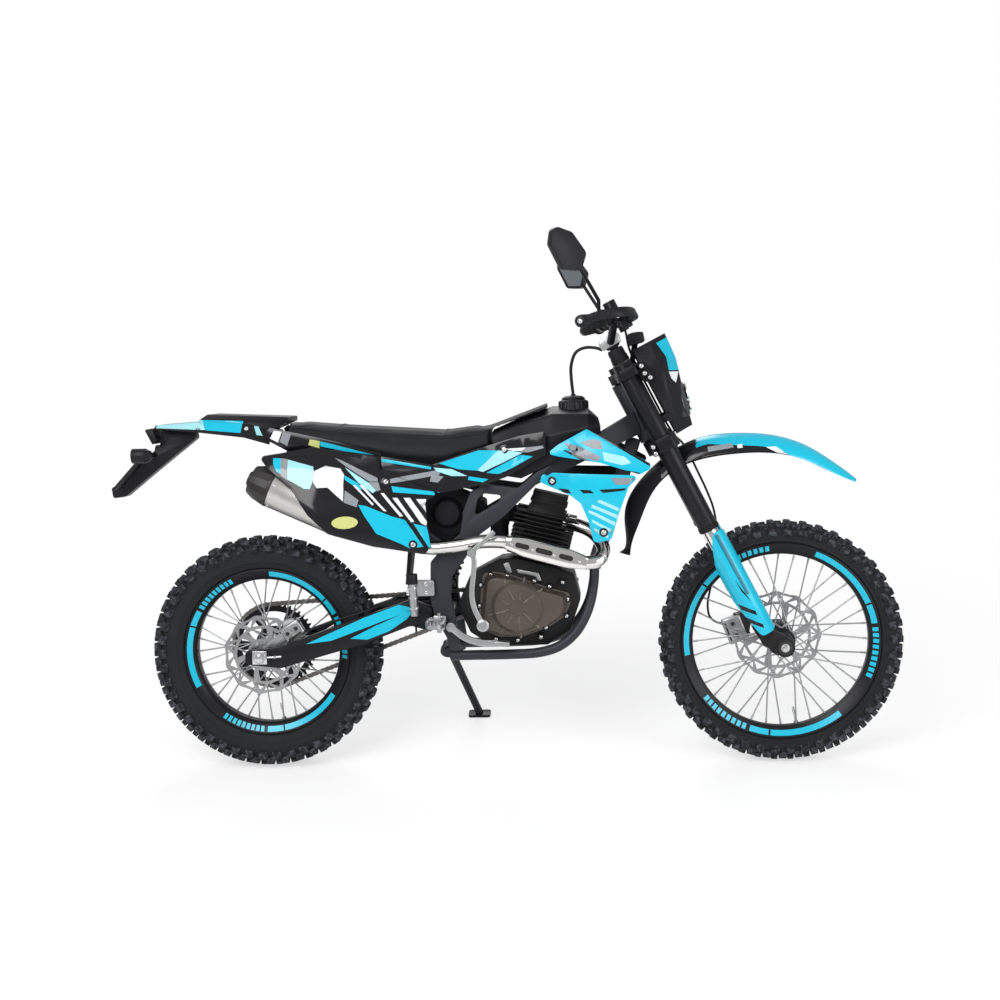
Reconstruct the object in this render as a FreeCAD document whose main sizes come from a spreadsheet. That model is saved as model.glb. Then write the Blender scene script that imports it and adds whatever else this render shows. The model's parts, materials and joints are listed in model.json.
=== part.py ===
import FreeCAD, Part
import Sketcher
import math
import os
from FreeCAD import Placement, Rotation, Vector

# Dual sport motorcycle, parked on its side stand.
# The machine is drawn upright, X forward, Y to its left, Z up, and leaned over at the end.
# The steering head is the fixed datum: fork and front wheel hang from it, and the wheelbase sets the rear axle.

doc = FreeCAD.newDocument("dual_sport_motorcycle")
sheet = doc.addObject("Spreadsheet::Sheet", "Sizes")

SIZES = {
    "head_x": 1143.87,
    "head_z": 889.19,
    "wheelbase": 1480,
    "lean_angle": 10,
    "rake_angle": 26.5,
    "axle_offset": 58,
    "leg_offset": 26,
    "leg_spacing": 200,
    "front_tyre_radius": 345,
    "front_rim_radius": 281,
    "front_tyre_width": 88,
    "front_rim_width": 52,
    "rear_tyre_radius": 338,
    "rear_rim_radius": 244,
    "rear_tyre_width": 112,
    "rear_rim_width": 66,
    "lug_height": 12,
    "lug_length": 24,
    "tread_pitches": 32,
    "rim_depth": 34,
    "rim_lip": 13,
    "rim_flange": 3.5,
    "spoke_count": 36,
    "spoke_width": 4,
    "hub_radius": 27,
    "hub_flange_radius": 38,
    "hub_flange_half": 31,
    "front_disc_radius": 128,
    "rear_disc_radius": 115,
    "disc_band": 31,
    "disc_thickness": 4,
    "disc_offset": 72,
    "disc_lobes": 12,
    "disc_windows": 6,
    "axle_radius": 8.5,
    "axle_half_length": 132,
    "bearing_clearance": 0.5,
    "running_clearance": 0.05,
    "head_gap": 3,
    "fork_outer_radius": 28,
    "fork_slider_radius": 21.5,
    "fork_outer_low": 400,
    "fork_slider_low": 94.5,
    "fork_top": 905,
    "slider_engagement": 45,
    "fit_clearance": 0.3,
    "lower_clamp_at": 637,
    "lower_clamp_height": 40,
    "upper_clamp_at": 862,
    "upper_clamp_height": 28,
    "stem_radius": 15,
    "head_tube_radius": 29,
    "head_tube_wall": 9,
    "bar_radius": 11.1,
    "bar_half_width": 395,
    "bar_rise": 70,
    "grip_radius": 16.5,
    "grip_length": 118,
    "hose_radius": 3.2,
    "chain_pitch": 15.875,
    "sprocket_teeth": 49,
    "drive_teeth": 13,
    "chain_line": 72.5,
    "sprocket_thickness": 6,
    "drive_x": 598,
    "drive_z": 462,
    "arm_pivot_x": 530,
    "arm_pivot_z": 452,
    "frame_half_width": 106,
    "frame_plate": 22,
    "tube_radius": 14,
    "panel_thickness": 4,
    "fender_thickness": 4,
    "cylinder_lean": 14,
    "cylinder_fins": 7,
    "head_fins": 4,
    "fin_step": 12,
    "fin_thickness": 3.5,
    "peg_x": 515,
    "peg_z": 440,
    "peg_length": 95,
    "peg_teeth": 8,
    "stand_pivot_x": 512,
    "stand_pivot_y": 142,
    "stand_pivot_z": 312,
    "stand_foot_x": 583,
    "stand_foot_y": 326,
    "stand_leg_radius": 12,
    "stand_axis_tilt": 25,
    "plate_hole_spacing": 146,
    "plate_hole_radius": 3.3,
}

for row, (alias, number) in enumerate(SIZES.items(), start=1):
    sheet.set(f"A{row}", alias)
    sheet.set(f"B{row}", str(number))
    sheet.setAlias(f"B{row}", alias)
doc.recompute()


class Size(float):
    """A number that keeps the formula it comes from, so that it can be bound to the sheet."""

    def __new__(cls, number, formula):
        made = super().__new__(cls, number)
        made.formula = formula
        return made

    def __add__(self, other):
        return Size(float(self) + float(other), f"({self.formula} + {formula_of(other)})")

    def __radd__(self, other):
        return Size(float(other) + float(self), f"({formula_of(other)} + {self.formula})")

    def __sub__(self, other):
        return Size(float(self) - float(other), f"({self.formula} - {formula_of(other)})")

    def __rsub__(self, other):
        return Size(float(other) - float(self), f"({formula_of(other)} - {self.formula})")

    def __mul__(self, other):
        return Size(float(self) * float(other), f"({self.formula} * {formula_of(other)})")

    def __rmul__(self, other):
        return self * other

    def __truediv__(self, other):
        return Size(float(self) / float(other), f"({self.formula} / {formula_of(other)})")

    def __neg__(self):
        return Size(-float(self), f"(0 - {self.formula})")


def formula_of(number):
    """The formula of a size, or the plain number."""
    return number.formula if isinstance(number, Size) else repr(float(number))


def size(alias):
    """Value of one named cell."""
    return Size(sheet.get(alias), f"Sizes.{alias}")


def bind(item, **sizes):
    """Tie properties of an object to the cells that its sizes come from."""
    for name, number in sizes.items():
        item.setExpression(name, formula_of(number))
    return item


SIDES = (-1, 1)
nodes = []


def keep(item, label):
    """Register a finished sub-part under its own name."""
    item.Label = label
    nodes.append(item)
    return item


def shaped(label, shape):
    """A sub-part whose shape is built by a function."""
    item = doc.addObject("Part::Feature", label)
    item.Shape = shape
    return keep(item, label)


# Places on the steered front end are given along the fork: forward, left and up its axis.

rake = math.radians(size("rake_angle"))
UP_FORK = Vector(-math.sin(rake), 0, math.cos(rake))
FORWARD_FORK = Vector(math.cos(rake), 0, math.sin(rake))
LEFT = Vector(0, 1, 0)
fork_foot = Vector(size("head_x"), 0, size("head_z")) - UP_FORK * size("lower_clamp_at")
front_axle = fork_foot + FORWARD_FORK * size("axle_offset")
rear_axle = Vector(front_axle.x - size("wheelbase"), 0, size("rear_tyre_radius"))
leg_y = size("leg_spacing") / 2
leg_a = size("leg_offset")


def fork(a, b, c):
    """Point a forward, b left and c up along the steering axis."""
    return fork_foot + FORWARD_FORK * a + LEFT * b + UP_FORK * c


# Solids from Part's own functions

def rod(start, end, radius):
    """Solid round bar between two points."""
    axis = end - start
    return Part.makeCylinder(radius, axis.Length, start, axis)


def cone(start, end, start_radius, end_radius):
    """Solid cone between two points."""
    axis = end - start
    return Part.makeCone(start_radius, end_radius, axis.Length, start, axis)


def sleeve(start, end, outer, inner):
    """Round tube between two points."""
    return rod(start, end, outer).cut(rod(start, end, inner))


def corner_turn(before, corner, after):
    """Directions out of a corner and half the angle between them."""
    back = (before - corner).normalize()
    ahead = (after - corner).normalize()
    return back, ahead, back.getAngle(ahead) / 2


def corner_arc(corner, back, ahead, half_angle, reach):
    """Tangent arc that starts and ends at one reach from a corner."""
    radius = reach * math.tan(half_angle)
    middle = corner + (back + ahead).normalize() * (radius / math.sin(half_angle) - radius)
    return corner + back * reach, middle, corner + ahead * reach


def rounded_wire(points, corner=0):
    """Closed wire through the points, each corner rounded by one radius or by its own."""
    count = len(points)
    radii = corner if isinstance(corner, list) else [corner] * count
    stops = []
    for index, point in enumerate(points):
        before = points[index - 1]
        after = points[(index + 1) % count]
        back, ahead, half_angle = corner_turn(before, point, after)
        if radii[index] == 0 or half_angle > math.radians(87):
            stops.append((point,))
            continue
        room = 0.45 * min(before.distanceToPoint(point), after.distanceToPoint(point))
        reach = min(radii[index] / math.tan(half_angle), room)
        stops.append(corner_arc(point, back, ahead, half_angle, reach))
    edges = []
    for stop, following in zip(stops, stops[1:] + stops[:1]):
        if len(stop) == 3:
            edges.append(Part.Arc(*stop).toShape())
        edges.append(Part.LineSegment(stop[-1], following[0]).toShape())
    return Part.Wire(edges)


def prism(points, push, corner=0):
    """Solid swept straight from a closed outline of points."""
    return Part.Face(rounded_wire(points, corner)).extrude(push)


def side_prism(outline, y_from, y_to, corner=0):
    """Solid between two upright planes from an outline of (x, z)."""
    points = [Vector(x, y_from, z) for x, z in outline]
    return prism(points, Vector(0, y_to - y_from, 0), corner)


def fork_prism(outline, b_from, b_to, corner=0):
    """Solid between two planes beside the fork from an outline of (a, c)."""
    points = [fork(a, b_from, c) for a, c in outline]
    return prism(points, LEFT * (b_to - b_from), corner)


def bar(start, end, width, height, up=Vector(0, 0, 1), corner=0):
    """Bar of rectangular section between two points, its height along up."""
    axis = (end - start).normalize()
    across = up.cross(axis).normalize()
    upright = axis.cross(across).normalize()
    corners = [(-1, -1), (1, -1), (1, 1), (-1, 1)]
    points = [start + across * (i * width / 2) + upright * (j * height / 2) for i, j in corners]
    return prism(points, end - start, corner)


def skin(sections, corner=0, ruled=True):
    """Closed solid through a row of outlines with as many points each."""
    return Part.makeLoft([rounded_wire(points, corner) for points in sections], True, ruled)


def hull_along_x(stations, corner=0, ruled=True):
    """Solid through (x, half outline) stations, mirrored about the middle plane."""
    sections = []
    for x, half in stations:
        left = [Vector(x, y, z) for y, z in half]
        right = [Vector(x, -y, z) for y, z in reversed(half) if y > 0]
        sections.append(left + right)
    return skin(sections, corner, ruled)


def bent_path(points, bend=None):
    """Straight runs joined by tangent arcs, of one radius or as large as the runs allow."""
    edges = []
    start = points[0]
    for before, corner, after in zip(points, points[1:], points[2:]):
        back, ahead, half_angle = corner_turn(before, corner, after)
        room = 0.45 * min(before.distanceToPoint(corner), after.distanceToPoint(corner))
        reach = room if bend is None else min(bend / math.tan(half_angle), room)
        entry, middle, leave = corner_arc(corner, back, ahead, half_angle, reach)
        edges.append(Part.LineSegment(start, entry).toShape())
        edges.append(Part.Arc(entry, middle, leave).toShape())
        start = leave
    edges.append(Part.LineSegment(start, points[-1]).toShape())
    return Part.Wire(edges)


def bent_tube(points, radius, bend=None):
    """Round tube along a bent path."""
    ring = Part.Wire(Part.makeCircle(radius, points[0], points[1] - points[0]))
    return bent_path(points, bend).makePipeShell([ring], True, False)


def strap(points, width, height, up, bend=None):
    """Flat bar along a bent path, its height along up at the start."""
    axis = (points[1] - points[0]).normalize()
    across = up.cross(axis).normalize()
    upright = axis.cross(across).normalize()
    signs = [(-1, -1), (1, -1), (1, 1), (-1, 1)]
    corners = [points[0] + across * (i * width / 2) + upright * (j * height / 2) for i, j in signs]
    return bent_path(points, bend).makePipeShell([rounded_wire(corners, 0)], True, False)


def ring_about_axle(centre, profile):
    """Solid of revolution about an axle from a closed profile of (y, radius)."""
    points = [centre + Vector(radius, y, 0) for y, radius in profile]
    wire = Part.makePolygon(points + [points[0]])
    return Part.Face(wire).revolve(centre, LEFT, 360)


def both_sides(make):
    """The right and left copies of one piece, not touching each other."""
    return Part.makeCompound([make(side) for side in SIDES])


# Document objects bound to the sheet

def round_bar(name, start, direction, radius, length):
    """Cylinder whose radius and length are bound to their cells."""
    item = doc.addObject("Part::Cylinder", name)
    item.Placement = Placement(start, Rotation(Vector(0, 0, 1), direction))
    return bind(item, Radius=radius, Height=length)


def cut_object(name, base, tool):
    """One object less another."""
    item = doc.addObject("Part::Cut", name)
    item.Base = base
    item.Tool = tool
    return item


def group_object(name, items):
    """Several solids of one sub-part."""
    item = doc.addObject("Part::Compound", name)
    item.Links = items
    return item


ACROSS_THE_AXLE = Rotation(Vector(0, 0, 1), 90)
ON_THE_SIDE = Rotation(Vector(1, 0, 0), -90)


def new_body(name, centre, turn):
    """Empty body set at its place."""
    body = doc.addObject("PartDesign::Body", name)
    body.Placement = Placement(centre, turn)
    return body


def new_sketch(body, name, lift=0):
    """Sketch on the body's own flat plane, lifted along its normal."""
    sketch = body.newObject("Sketcher::SketchObject", name)
    plane = next(item for item in body.Origin.OriginFeatures if item.Role == "XY_Plane")
    sketch.AttachmentSupport = [(plane, "")]
    sketch.MapMode = "FlatFace"
    sketch.AttachmentOffset = Placement(Vector(0, 0, lift), Rotation())
    if lift:
        sketch.setExpression("AttachmentOffset.Base.z", formula_of(lift))
    return sketch


def pin_point(sketch, shape, point, x, y):
    """Bind a point of a sketch to its two distances from the origin."""
    for kind, axis, number in (("DistanceX", -2, x), ("DistanceY", -1, y)):
        if float(number) == 0:
            sketch.addConstraint(Sketcher.Constraint("PointOnObject", shape, point, axis))
            continue
        index = sketch.addConstraint(Sketcher.Constraint(kind, -1, 1, shape, point, float(number)))
        sketch.setExpression(f"Constraints[{index}]", formula_of(number))


def draw_outline(sketch, corners):
    """Closed outline, every corner bound to its sizes."""
    points = [Vector(x, y, 0) for x, y in corners]
    shapes = [sketch.addGeometry(Part.LineSegment(start, end), False)
              for start, end in zip(points, points[1:] + points[:1])]
    for shape, following in zip(shapes, shapes[1:] + shapes[:1]):
        sketch.addConstraint(Sketcher.Constraint("Coincident", shape, 2, following, 1))
    for shape, (x, y) in zip(shapes, corners):
        pin_point(sketch, shape, 1, x, y)
    return sketch


def draw_circle(sketch, radius, x=0, y=0):
    """Circle with its centre and radius bound to their sizes."""
    shape = sketch.addGeometry(Part.Circle(Vector(x, y, 0), Vector(0, 0, 1), radius), False)
    pin_point(sketch, shape, 3, x, y)
    index = sketch.addConstraint(Sketcher.Constraint("Radius", shape, float(radius)))
    sketch.setExpression(f"Constraints[{index}]", formula_of(radius))
    return sketch


def pad(body, sketch, length, symmetric=False):
    """Sketch raised to a solid."""
    feature = body.newObject("PartDesign::Pad", sketch.Name + "_pad")
    feature.Profile = sketch
    feature.SideType = "Symmetric" if symmetric else "One side"
    return bind(feature, Length=length)


def pocket(body, sketch):
    """Sketch cut right through the solid."""
    feature = body.newObject("PartDesign::Pocket", sketch.Name + "_pocket")
    feature.Profile = sketch
    feature.Type = "ThroughAll"
    feature.SideType = "Symmetric"
    return feature


def polar_pattern(body, feature, sketch, count):
    """Feature repeated about the sketch's normal."""
    pattern = body.newObject("PartDesign::PolarPattern", feature.Name + "_ring")
    pattern.Originals = [feature]
    pattern.Axis = (sketch, ["N_Axis"])
    pattern.Angle = 360
    bind(pattern, Occurrences=count)
    body.Tip = pattern
    return pattern


def row_pattern(body, feature, sketch, step, count):
    """Feature repeated along the sketch's normal."""
    pattern = body.newObject("PartDesign::LinearPattern", feature.Name + "_row")
    pattern.Originals = [feature]
    pattern.Direction = (sketch, ["N_Axis"])
    bind(pattern, Length=step * (count - 1), Occurrences=count)
    body.Tip = pattern
    return pattern


def polar_cut(body, name, draw, count):
    """Hole drawn once and cut through at equal steps about the middle."""
    uncut = body.Shape.Volume
    sketch = draw(new_sketch(body, name))
    pattern = polar_pattern(body, pocket(body, sketch), sketch, count)
    doc.recompute()
    if body.Shape.Volume >= uncut:
        raise RuntimeError(f"{name} cuts nothing")
    return pattern


# Wheels

def ring_point(centre, angle, radius, y):
    """Point beside an axle at an angle about it."""
    return centre + Vector(math.cos(angle) * radius, y, math.sin(angle) * radius)


def tyre_section(name):
    """Closed section of the tyre's body from bead to bead."""
    lip = size(name + "_rim_radius")
    radius = size(name + "_tyre_radius")
    width = size(name + "_tyre_width")
    crown = radius - size("lug_height")
    half = width / 2
    grip = size(name + "_rim_width") / 2 - size("rim_flange") - 1.1
    side = lip + (radius - lip) * 0.45
    bead = (lip - size("rim_lip") + size("fit_clearance")) / math.cos(math.pi / size("tread_pitches"))
    right = [(grip, bead), (grip, lip + 0.6), (half * 0.9, side),
             (half * 0.9, crown - width * 0.17), (half * 0.52, crown - width * 0.03)]
    return right + [(-y, r) for y, r in reversed(right)]


def lug_sections(name):
    """Sections of the middle lug and of the two shoulder lugs, with their share of a pitch."""
    radius = size(name + "_tyre_radius")
    width = size(name + "_tyre_width")
    crown = radius - size("lug_height")
    half = width / 2
    top = math.sqrt(radius ** 2 - (size("lug_length") / 2) ** 2)
    low = crown - width * 0.03 - 1
    middle = [(-half * 0.32, low), (half * 0.32, low), (half * 0.26, top), (-half * 0.26, top)]
    shoulder = [(half * 0.87, crown - width * 0.175), (half * 0.56, crown - width * 0.052),
                (half * 0.61, radius - width * 0.035), (half, radius - width * 0.2)]
    other = [(-y, r) for y, r in reversed(shoulder)]
    return [(middle, -0.25), (shoulder, 0.25), (other, 0.25)]


def make_tyre(name, centre):
    """Tyre of flat facets, one for each pitch of its lugs."""
    count = int(size("tread_pitches"))
    pitch = 2 * math.pi / count
    section = tyre_section(name)
    ends = [[ring_point(centre, angle, r, y) for y, r in section] for angle in (-pitch / 2, pitch / 2)]
    caps = [Part.Face(Part.makePolygon(points + [points[0]])) for points in ends]
    strips = []
    for index in range(len(section)):
        corners = [ends[0][index - 1], ends[0][index], ends[1][index], ends[1][index - 1]]
        strips.append(Part.Face(Part.makePolygon(corners + [corners[0]])))
    wedge = Part.makeSolid(Part.makeShell(caps + strips))
    lugs = []
    length = size("lug_length")
    for outline, share in lug_sections(name):
        angle = pitch * share
        along = Vector(-math.sin(angle), 0, math.cos(angle))
        foot = [ring_point(centre, angle, r, y) - along * (length / 2) for y, r in outline]
        lugs.append(prism(foot, along * length))
    wedge = wedge.fuse(lugs)
    outside = []
    for face in wedge.Faces:
        way = face.CenterOfMass - centre
        if abs(abs(math.atan2(way.z, way.x)) - pitch / 2) > 0.001:
            outside.append(face)
    facets = []
    for index in range(count):
        for face in outside:
            copy = face.copy()
            copy.rotate(centre, LEFT, -360 * index / count)
            facets.append(copy)
    shell = Part.makeShell(facets)
    shell.sewShape()
    return Part.makeSolid(shell)


def make_rim(name, centre):
    """Drop-centre rim turned from its section."""
    body = new_body(name + "_rim_body", centre, ACROSS_THE_AXLE)
    half = size(name + "_rim_width") / 2
    lip = size(name + "_rim_radius")
    seat = lip - size("rim_lip")
    bed = lip - size("rim_depth")
    flange = size("rim_flange")
    left = [(half, lip), (half + 0.8, lip - 3), (half - 1.5, seat - 4), (half * 0.55, bed + 5), (half * 0.36, bed)]
    inside = [(-half + flange + 0.5, seat), (-half + flange, lip)]
    corners = left + [(-y, r) for y, r in reversed(left)] + [(y, r) for y, r in reversed(inside)]
    corners += [(half - flange - 0.5, seat), (half - flange, lip)]
    sketch = draw_outline(new_sketch(body, name + "_rim_section"), corners)
    hoop = body.newObject("PartDesign::Revolution", name + "_rim_hoop")
    hoop.Profile = sketch
    hoop.ReferenceAxis = (sketch, ["H_Axis"])
    hoop.Angle = 360
    return keep(body, name + "_rim")


def laced_hub(centre, spoke_end, barrel_half):
    """Hub with crossed spokes that end at the rim."""
    flange = size("hub_flange_radius")
    flange_y = size("hub_flange_half")
    barrel = size("hub_radius")
    bore = size("axle_radius") + size("bearing_clearance")
    profile = [(-barrel_half, bore), (-barrel_half, barrel), (-flange_y - 3, barrel), (-flange_y - 3, flange),
               (-flange_y + 3, flange), (-flange_y + 3, barrel)]
    profile += [(-y, r) for y, r in reversed(profile)]
    hub = ring_about_axle(centre, profile)
    count = int(size("spoke_count"))
    width = size("spoke_width")
    spokes = []
    for index in range(count):
        side = 1 if index % 2 else -1
        lead = 1 if index % 4 < 2 else -1
        rim_angle = 2 * math.pi * index / count
        hub_angle = rim_angle + lead * math.radians(62)
        start = ring_point(centre, hub_angle, flange - 3, side * (flange_y + 1.5 * lead))
        end = ring_point(centre, rim_angle, spoke_end, side * 5)
        spokes.append(bar(start, end, width, width, LEFT))
    return hub.fuse(spokes)


def make_disc(name, centre, side):
    """Wave brake disc: scalloped rim, windows between its arms and a ring of holes."""
    radius = size(name + "_disc_radius")
    band = size("disc_band")
    carrier = size("hub_radius") + 10
    body = new_body(name + "_disc_body", centre + LEFT * side * size("disc_offset"), ON_THE_SIDE)
    blank = new_sketch(body, name + "_disc_blank")
    draw_circle(blank, radius)
    draw_circle(blank, carrier - 14)
    pad(body, blank, size("disc_thickness"), True)
    doc.recompute()
    polar_cut(body, name + "_scallop", lambda sketch: draw_circle(sketch, 26, radius + 23), size("disc_lobes"))
    window = [(carrier + 6, -10), (carrier + 6, 12), (radius - band - 3, 34), (radius - band + 1, -2)]
    polar_cut(body, name + "_window", lambda sketch: draw_outline(sketch, window), size("disc_windows"))
    polar_cut(body, name + "_hole", lambda sketch: draw_circle(sketch, 4.5, radius - band / 2, 9),
              size("disc_lobes"))
    return keep(body, name + "_disc")


def make_wheel(name, centre, disc_side):
    """Tyre, rim, laced hub and brake disc of one wheel."""
    shaped(name + "_tyre", make_tyre(name, centre))
    make_rim(name, centre)
    bed = size(name + "_rim_radius") - size("rim_depth")
    barrel_half = size("disc_offset") - size("disc_thickness") / 2 - size("fit_clearance") - 0.5
    shaped(name + "_hub_spokes", laced_hub(centre, bed - size("fit_clearance") - 0.5, barrel_half))
    make_disc(name, centre, disc_side)


make_wheel("front", front_axle, 1)
make_wheel("rear", rear_axle, -1)


# Drive

def pitch_radius(teeth):
    """Pitch radius of a chain wheel."""
    return size("chain_pitch") / (2 * math.sin(math.pi / teeth))


rear_pitch = pitch_radius(size("sprocket_teeth"))
drive_pitch = pitch_radius(size("drive_teeth"))
drive_centre = Vector(size("drive_x"), 0, size("drive_z"))
TOOTH_TIP = 3.6
ROLLER = 4.6


def make_sprocket():
    """Rear chain wheel with its teeth and lightening windows."""
    body = new_body("sprocket_body", rear_axle + LEFT * size("chain_line"), ON_THE_SIDE)
    blank = new_sketch(body, "sprocket_blank")
    draw_circle(blank, rear_pitch + TOOTH_TIP)
    draw_circle(blank, size("hub_radius") - 4)
    pad(body, blank, size("sprocket_thickness"), True)
    doc.recompute()
    polar_cut(body, "tooth_gap", lambda sketch: draw_circle(sketch, ROLLER, rear_pitch + 1.5),
              size("sprocket_teeth"))
    window = [(44, -12), (44, 14), (rear_pitch - 20, 38), (rear_pitch - 17, -26)]
    polar_cut(body, "sprocket_window", lambda sketch: draw_outline(sketch, window), size("disc_windows"))
    return keep(body, "rear_sprocket")


def chain_loop(growth):
    """Closed outline of the chain run round both wheels, grown outward."""
    gap = rear_axle - drive_centre
    far = rear_pitch + growth
    near = drive_pitch + growth
    away = math.atan2(gap.z, gap.x)
    swing = math.acos((drive_pitch - rear_pitch) / gap.Length)
    top_back = ring_point(rear_axle, away - swing, far, 0)
    top_front = ring_point(drive_centre, away - swing, near, 0)
    low_back = ring_point(rear_axle, away + swing, far, 0)
    low_front = ring_point(drive_centre, away + swing, near, 0)
    edges = [
        Part.LineSegment(top_back, top_front).toShape(),
        Part.Arc(top_front, ring_point(drive_centre, away + math.pi, near, 0), low_front).toShape(),
        Part.LineSegment(low_front, low_back).toShape(),
        Part.Arc(low_back, ring_point(rear_axle, away, far, 0), top_back).toShape(),
    ]
    return Part.Wire(edges)


def chain_band(inner, outer, y, width):
    """Band of the chain between two growths, centred on a line across the machine."""
    band = Part.Face(chain_loop(outer)).cut(Part.Face(chain_loop(inner))).extrude(LEFT * width)
    band.translate(LEFT * (y - width / 2))
    return band


def make_chain():
    """Chain run: two rows of side plates, the rollers' backs over the teeth, and the drive wheel."""
    y = size("chain_line")
    plates = [chain_band(-6.5, 7, y + side * 7, 3) for side in SIDES]
    rollers = chain_band(ROLLER, 6.4, y, 12)
    drive_wheel = rod(drive_centre + LEFT * 62.3, drive_centre + LEFT * (y + 3), drive_pitch + ROLLER + 0.4)
    return rollers.fuse(plates + [drive_wheel])


make_sprocket()
shaped("chain", make_chain())


# Front fork and steering

head_low = size("lower_clamp_at") + size("lower_clamp_height") + size("head_gap")
head_high = size("upper_clamp_at") - size("head_gap")
clamp_top = size("upper_clamp_at") + size("upper_clamp_height")


def make_fork_outer(side):
    """Upper fork leg, bored at its lower end for the slider."""
    low = size("fork_outer_low")
    outer = round_bar(f"leg_{side}", fork(leg_a, side * leg_y, low), UP_FORK, size("fork_outer_radius"),
                      size("fork_top") - low)
    bore = round_bar(f"leg_bore_{side}", fork(leg_a, side * leg_y, low - 1), UP_FORK,
                     size("fork_slider_radius") + size("fit_clearance"), size("slider_engagement") + 3)
    return cut_object(f"bored_leg_{side}", outer, bore)


def make_fork_slider(side):
    """Polished lower fork leg."""
    low = size("fork_slider_low")
    return round_bar(f"slider_{side}", fork(leg_a, side * leg_y, low), UP_FORK, size("fork_slider_radius"),
                     size("fork_outer_low") + size("slider_engagement") - low)


def slider_space(side):
    """Room that a slider takes up."""
    return rod(fork(leg_a, side * leg_y, size("fork_slider_low")), fork(leg_a, side * leg_y, size("fork_top")),
               size("fork_slider_radius"))


def make_fork_lug(side):
    """Casting at the foot of a fork leg with its round axle clamp."""
    top = size("fork_slider_low") - 0.5
    outline = [(2, top), (51.4, top), (51.4, 56), (78, 22), (60, -26), (40, -18), (8, 34)]
    lug = fork_prism(outline, side * leg_y - 17, side * leg_y + 17, 8)
    axle = fork(size("axle_offset"), side * leg_y, 0)
    clamp = rod(axle - LEFT * 21, axle + LEFT * 21, 27)
    return lug.fuse(clamp).cut(rod(axle - LEFT * 30, axle + LEFT * 30, size("axle_radius") + 0.1))


def make_fork_guard(side):
    """Curved plastic guard in front of and outside the slider, pointed at its top."""
    shell = sleeve(fork(leg_a, side * leg_y, 60), fork(leg_a, side * leg_y, 376), 35, 31)
    outline = [(-16, 212), (-14, 268), (10, 345), (28, 376), (62, 376), (62, 60), (16, 60), (4, 112)]
    return shell.common(fork_prism(outline, side * (leg_y - 8), side * (leg_y + 40), 14))


keep(group_object("fork_outer_pair", [make_fork_outer(side) for side in SIDES]), "fork_outer_legs")
keep(group_object("fork_slider_pair", [make_fork_slider(side) for side in SIDES]), "fork_sliders")
shaped("fork_lugs", both_sides(make_fork_lug))
shaped("fork_guards", both_sides(make_fork_guard))
keep(round_bar("front_axle_bar", front_axle - LEFT * size("axle_half_length"), LEFT, size("axle_radius"),
               size("axle_half_length") * 2), "front_axle")


def clamp_plate(at, height):
    """One fork clamp, bored for both legs and split behind them."""
    low = fork(0, 0, at)
    outline = [(-26, -20), (-26, 20), (4, 70), (-12, 96), (4, 134), (52, 138), (66, 116), (62, 70), (44, 40),
               (44, -40), (62, -70), (66, -116), (52, -138), (4, -134), (-12, -96), (4, -70)]
    plate = prism([low + FORWARD_FORK * a + LEFT * b for a, b in outline], UP_FORK * height, 10)
    bores = []
    for side in SIDES:
        foot = fork(leg_a, side * leg_y, at - 5)
        bores.append(rod(foot, foot + UP_FORK * (height + 10), size("fork_outer_radius") + 0.15))
        bores.append(prism([fork(a, side * leg_y + b, at - 5) for a, b in ((-20, -2), (10, -2), (10, 2), (-20, 2))],
                           UP_FORK * (height + 10)))
    return plate.cut(bores)


def make_triple_clamps():
    """Lower and upper clamp with the stem between them."""
    lower = clamp_plate(size("lower_clamp_at"), size("lower_clamp_height"))
    upper = clamp_plate(size("upper_clamp_at"), size("upper_clamp_height"))
    stem = rod(fork(0, 0, size("lower_clamp_at") + 5), fork(0, 0, clamp_top + 17), size("stem_radius"))
    race = size("head_tube_radius") - size("head_tube_wall") - size("running_clearance")
    low_race = rod(fork(0, 0, head_low - 3), fork(0, 0, head_low + 16), race)
    high_race = rod(fork(0, 0, head_high - 16), fork(0, 0, head_high + 3), race)
    return lower.fuse([upper, stem, low_race, high_race])


shaped("triple_clamps", make_triple_clamps())

bar_seat = size("fork_top") + size("bar_rise")
FORK_FOOT_DRAWN = Vector(1428.099, 0, 319.121)
BAR_BEND = Vector(64, 155, 47)
BAR_END_A = -12
BAR_END_RISE = 73
BAR_SEAT_A = 28


def bar_bend(side):
    """Point of the handlebar where its end part begins."""
    return fork(BAR_BEND.x, side * BAR_BEND.y, bar_seat + BAR_BEND.z)


def bar_tip(side):
    """End of the handlebar."""
    return fork(BAR_END_A, side * size("bar_half_width"), bar_seat + BAR_END_RISE)


def grip_line(side, inset):
    """Point on the straight end of the bar at a distance from its tip."""
    tip = bar_tip(side)
    return tip + (bar_bend(side) - tip).normalize() * inset


def make_handlebar():
    """Bar with its two risers."""
    route = [bar_tip(-1), bar_bend(-1), fork(BAR_SEAT_A, -62, bar_seat), fork(BAR_SEAT_A, 62, bar_seat),
             bar_bend(1), bar_tip(1)]
    risers = []
    for side in SIDES:
        risers.append(rod(fork(BAR_SEAT_A, side * 42, clamp_top), fork(BAR_SEAT_A, side * 42, bar_seat - 16), 13))
        block = [(8, bar_seat - 20), (48, bar_seat - 20), (48, bar_seat + 16), (8, bar_seat + 16)]
        risers.append(fork_prism(block, side * 42 - 15, side * 42 + 15, 7))
    return bent_tube(route, size("bar_radius"), 40).fuse(risers)


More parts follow.
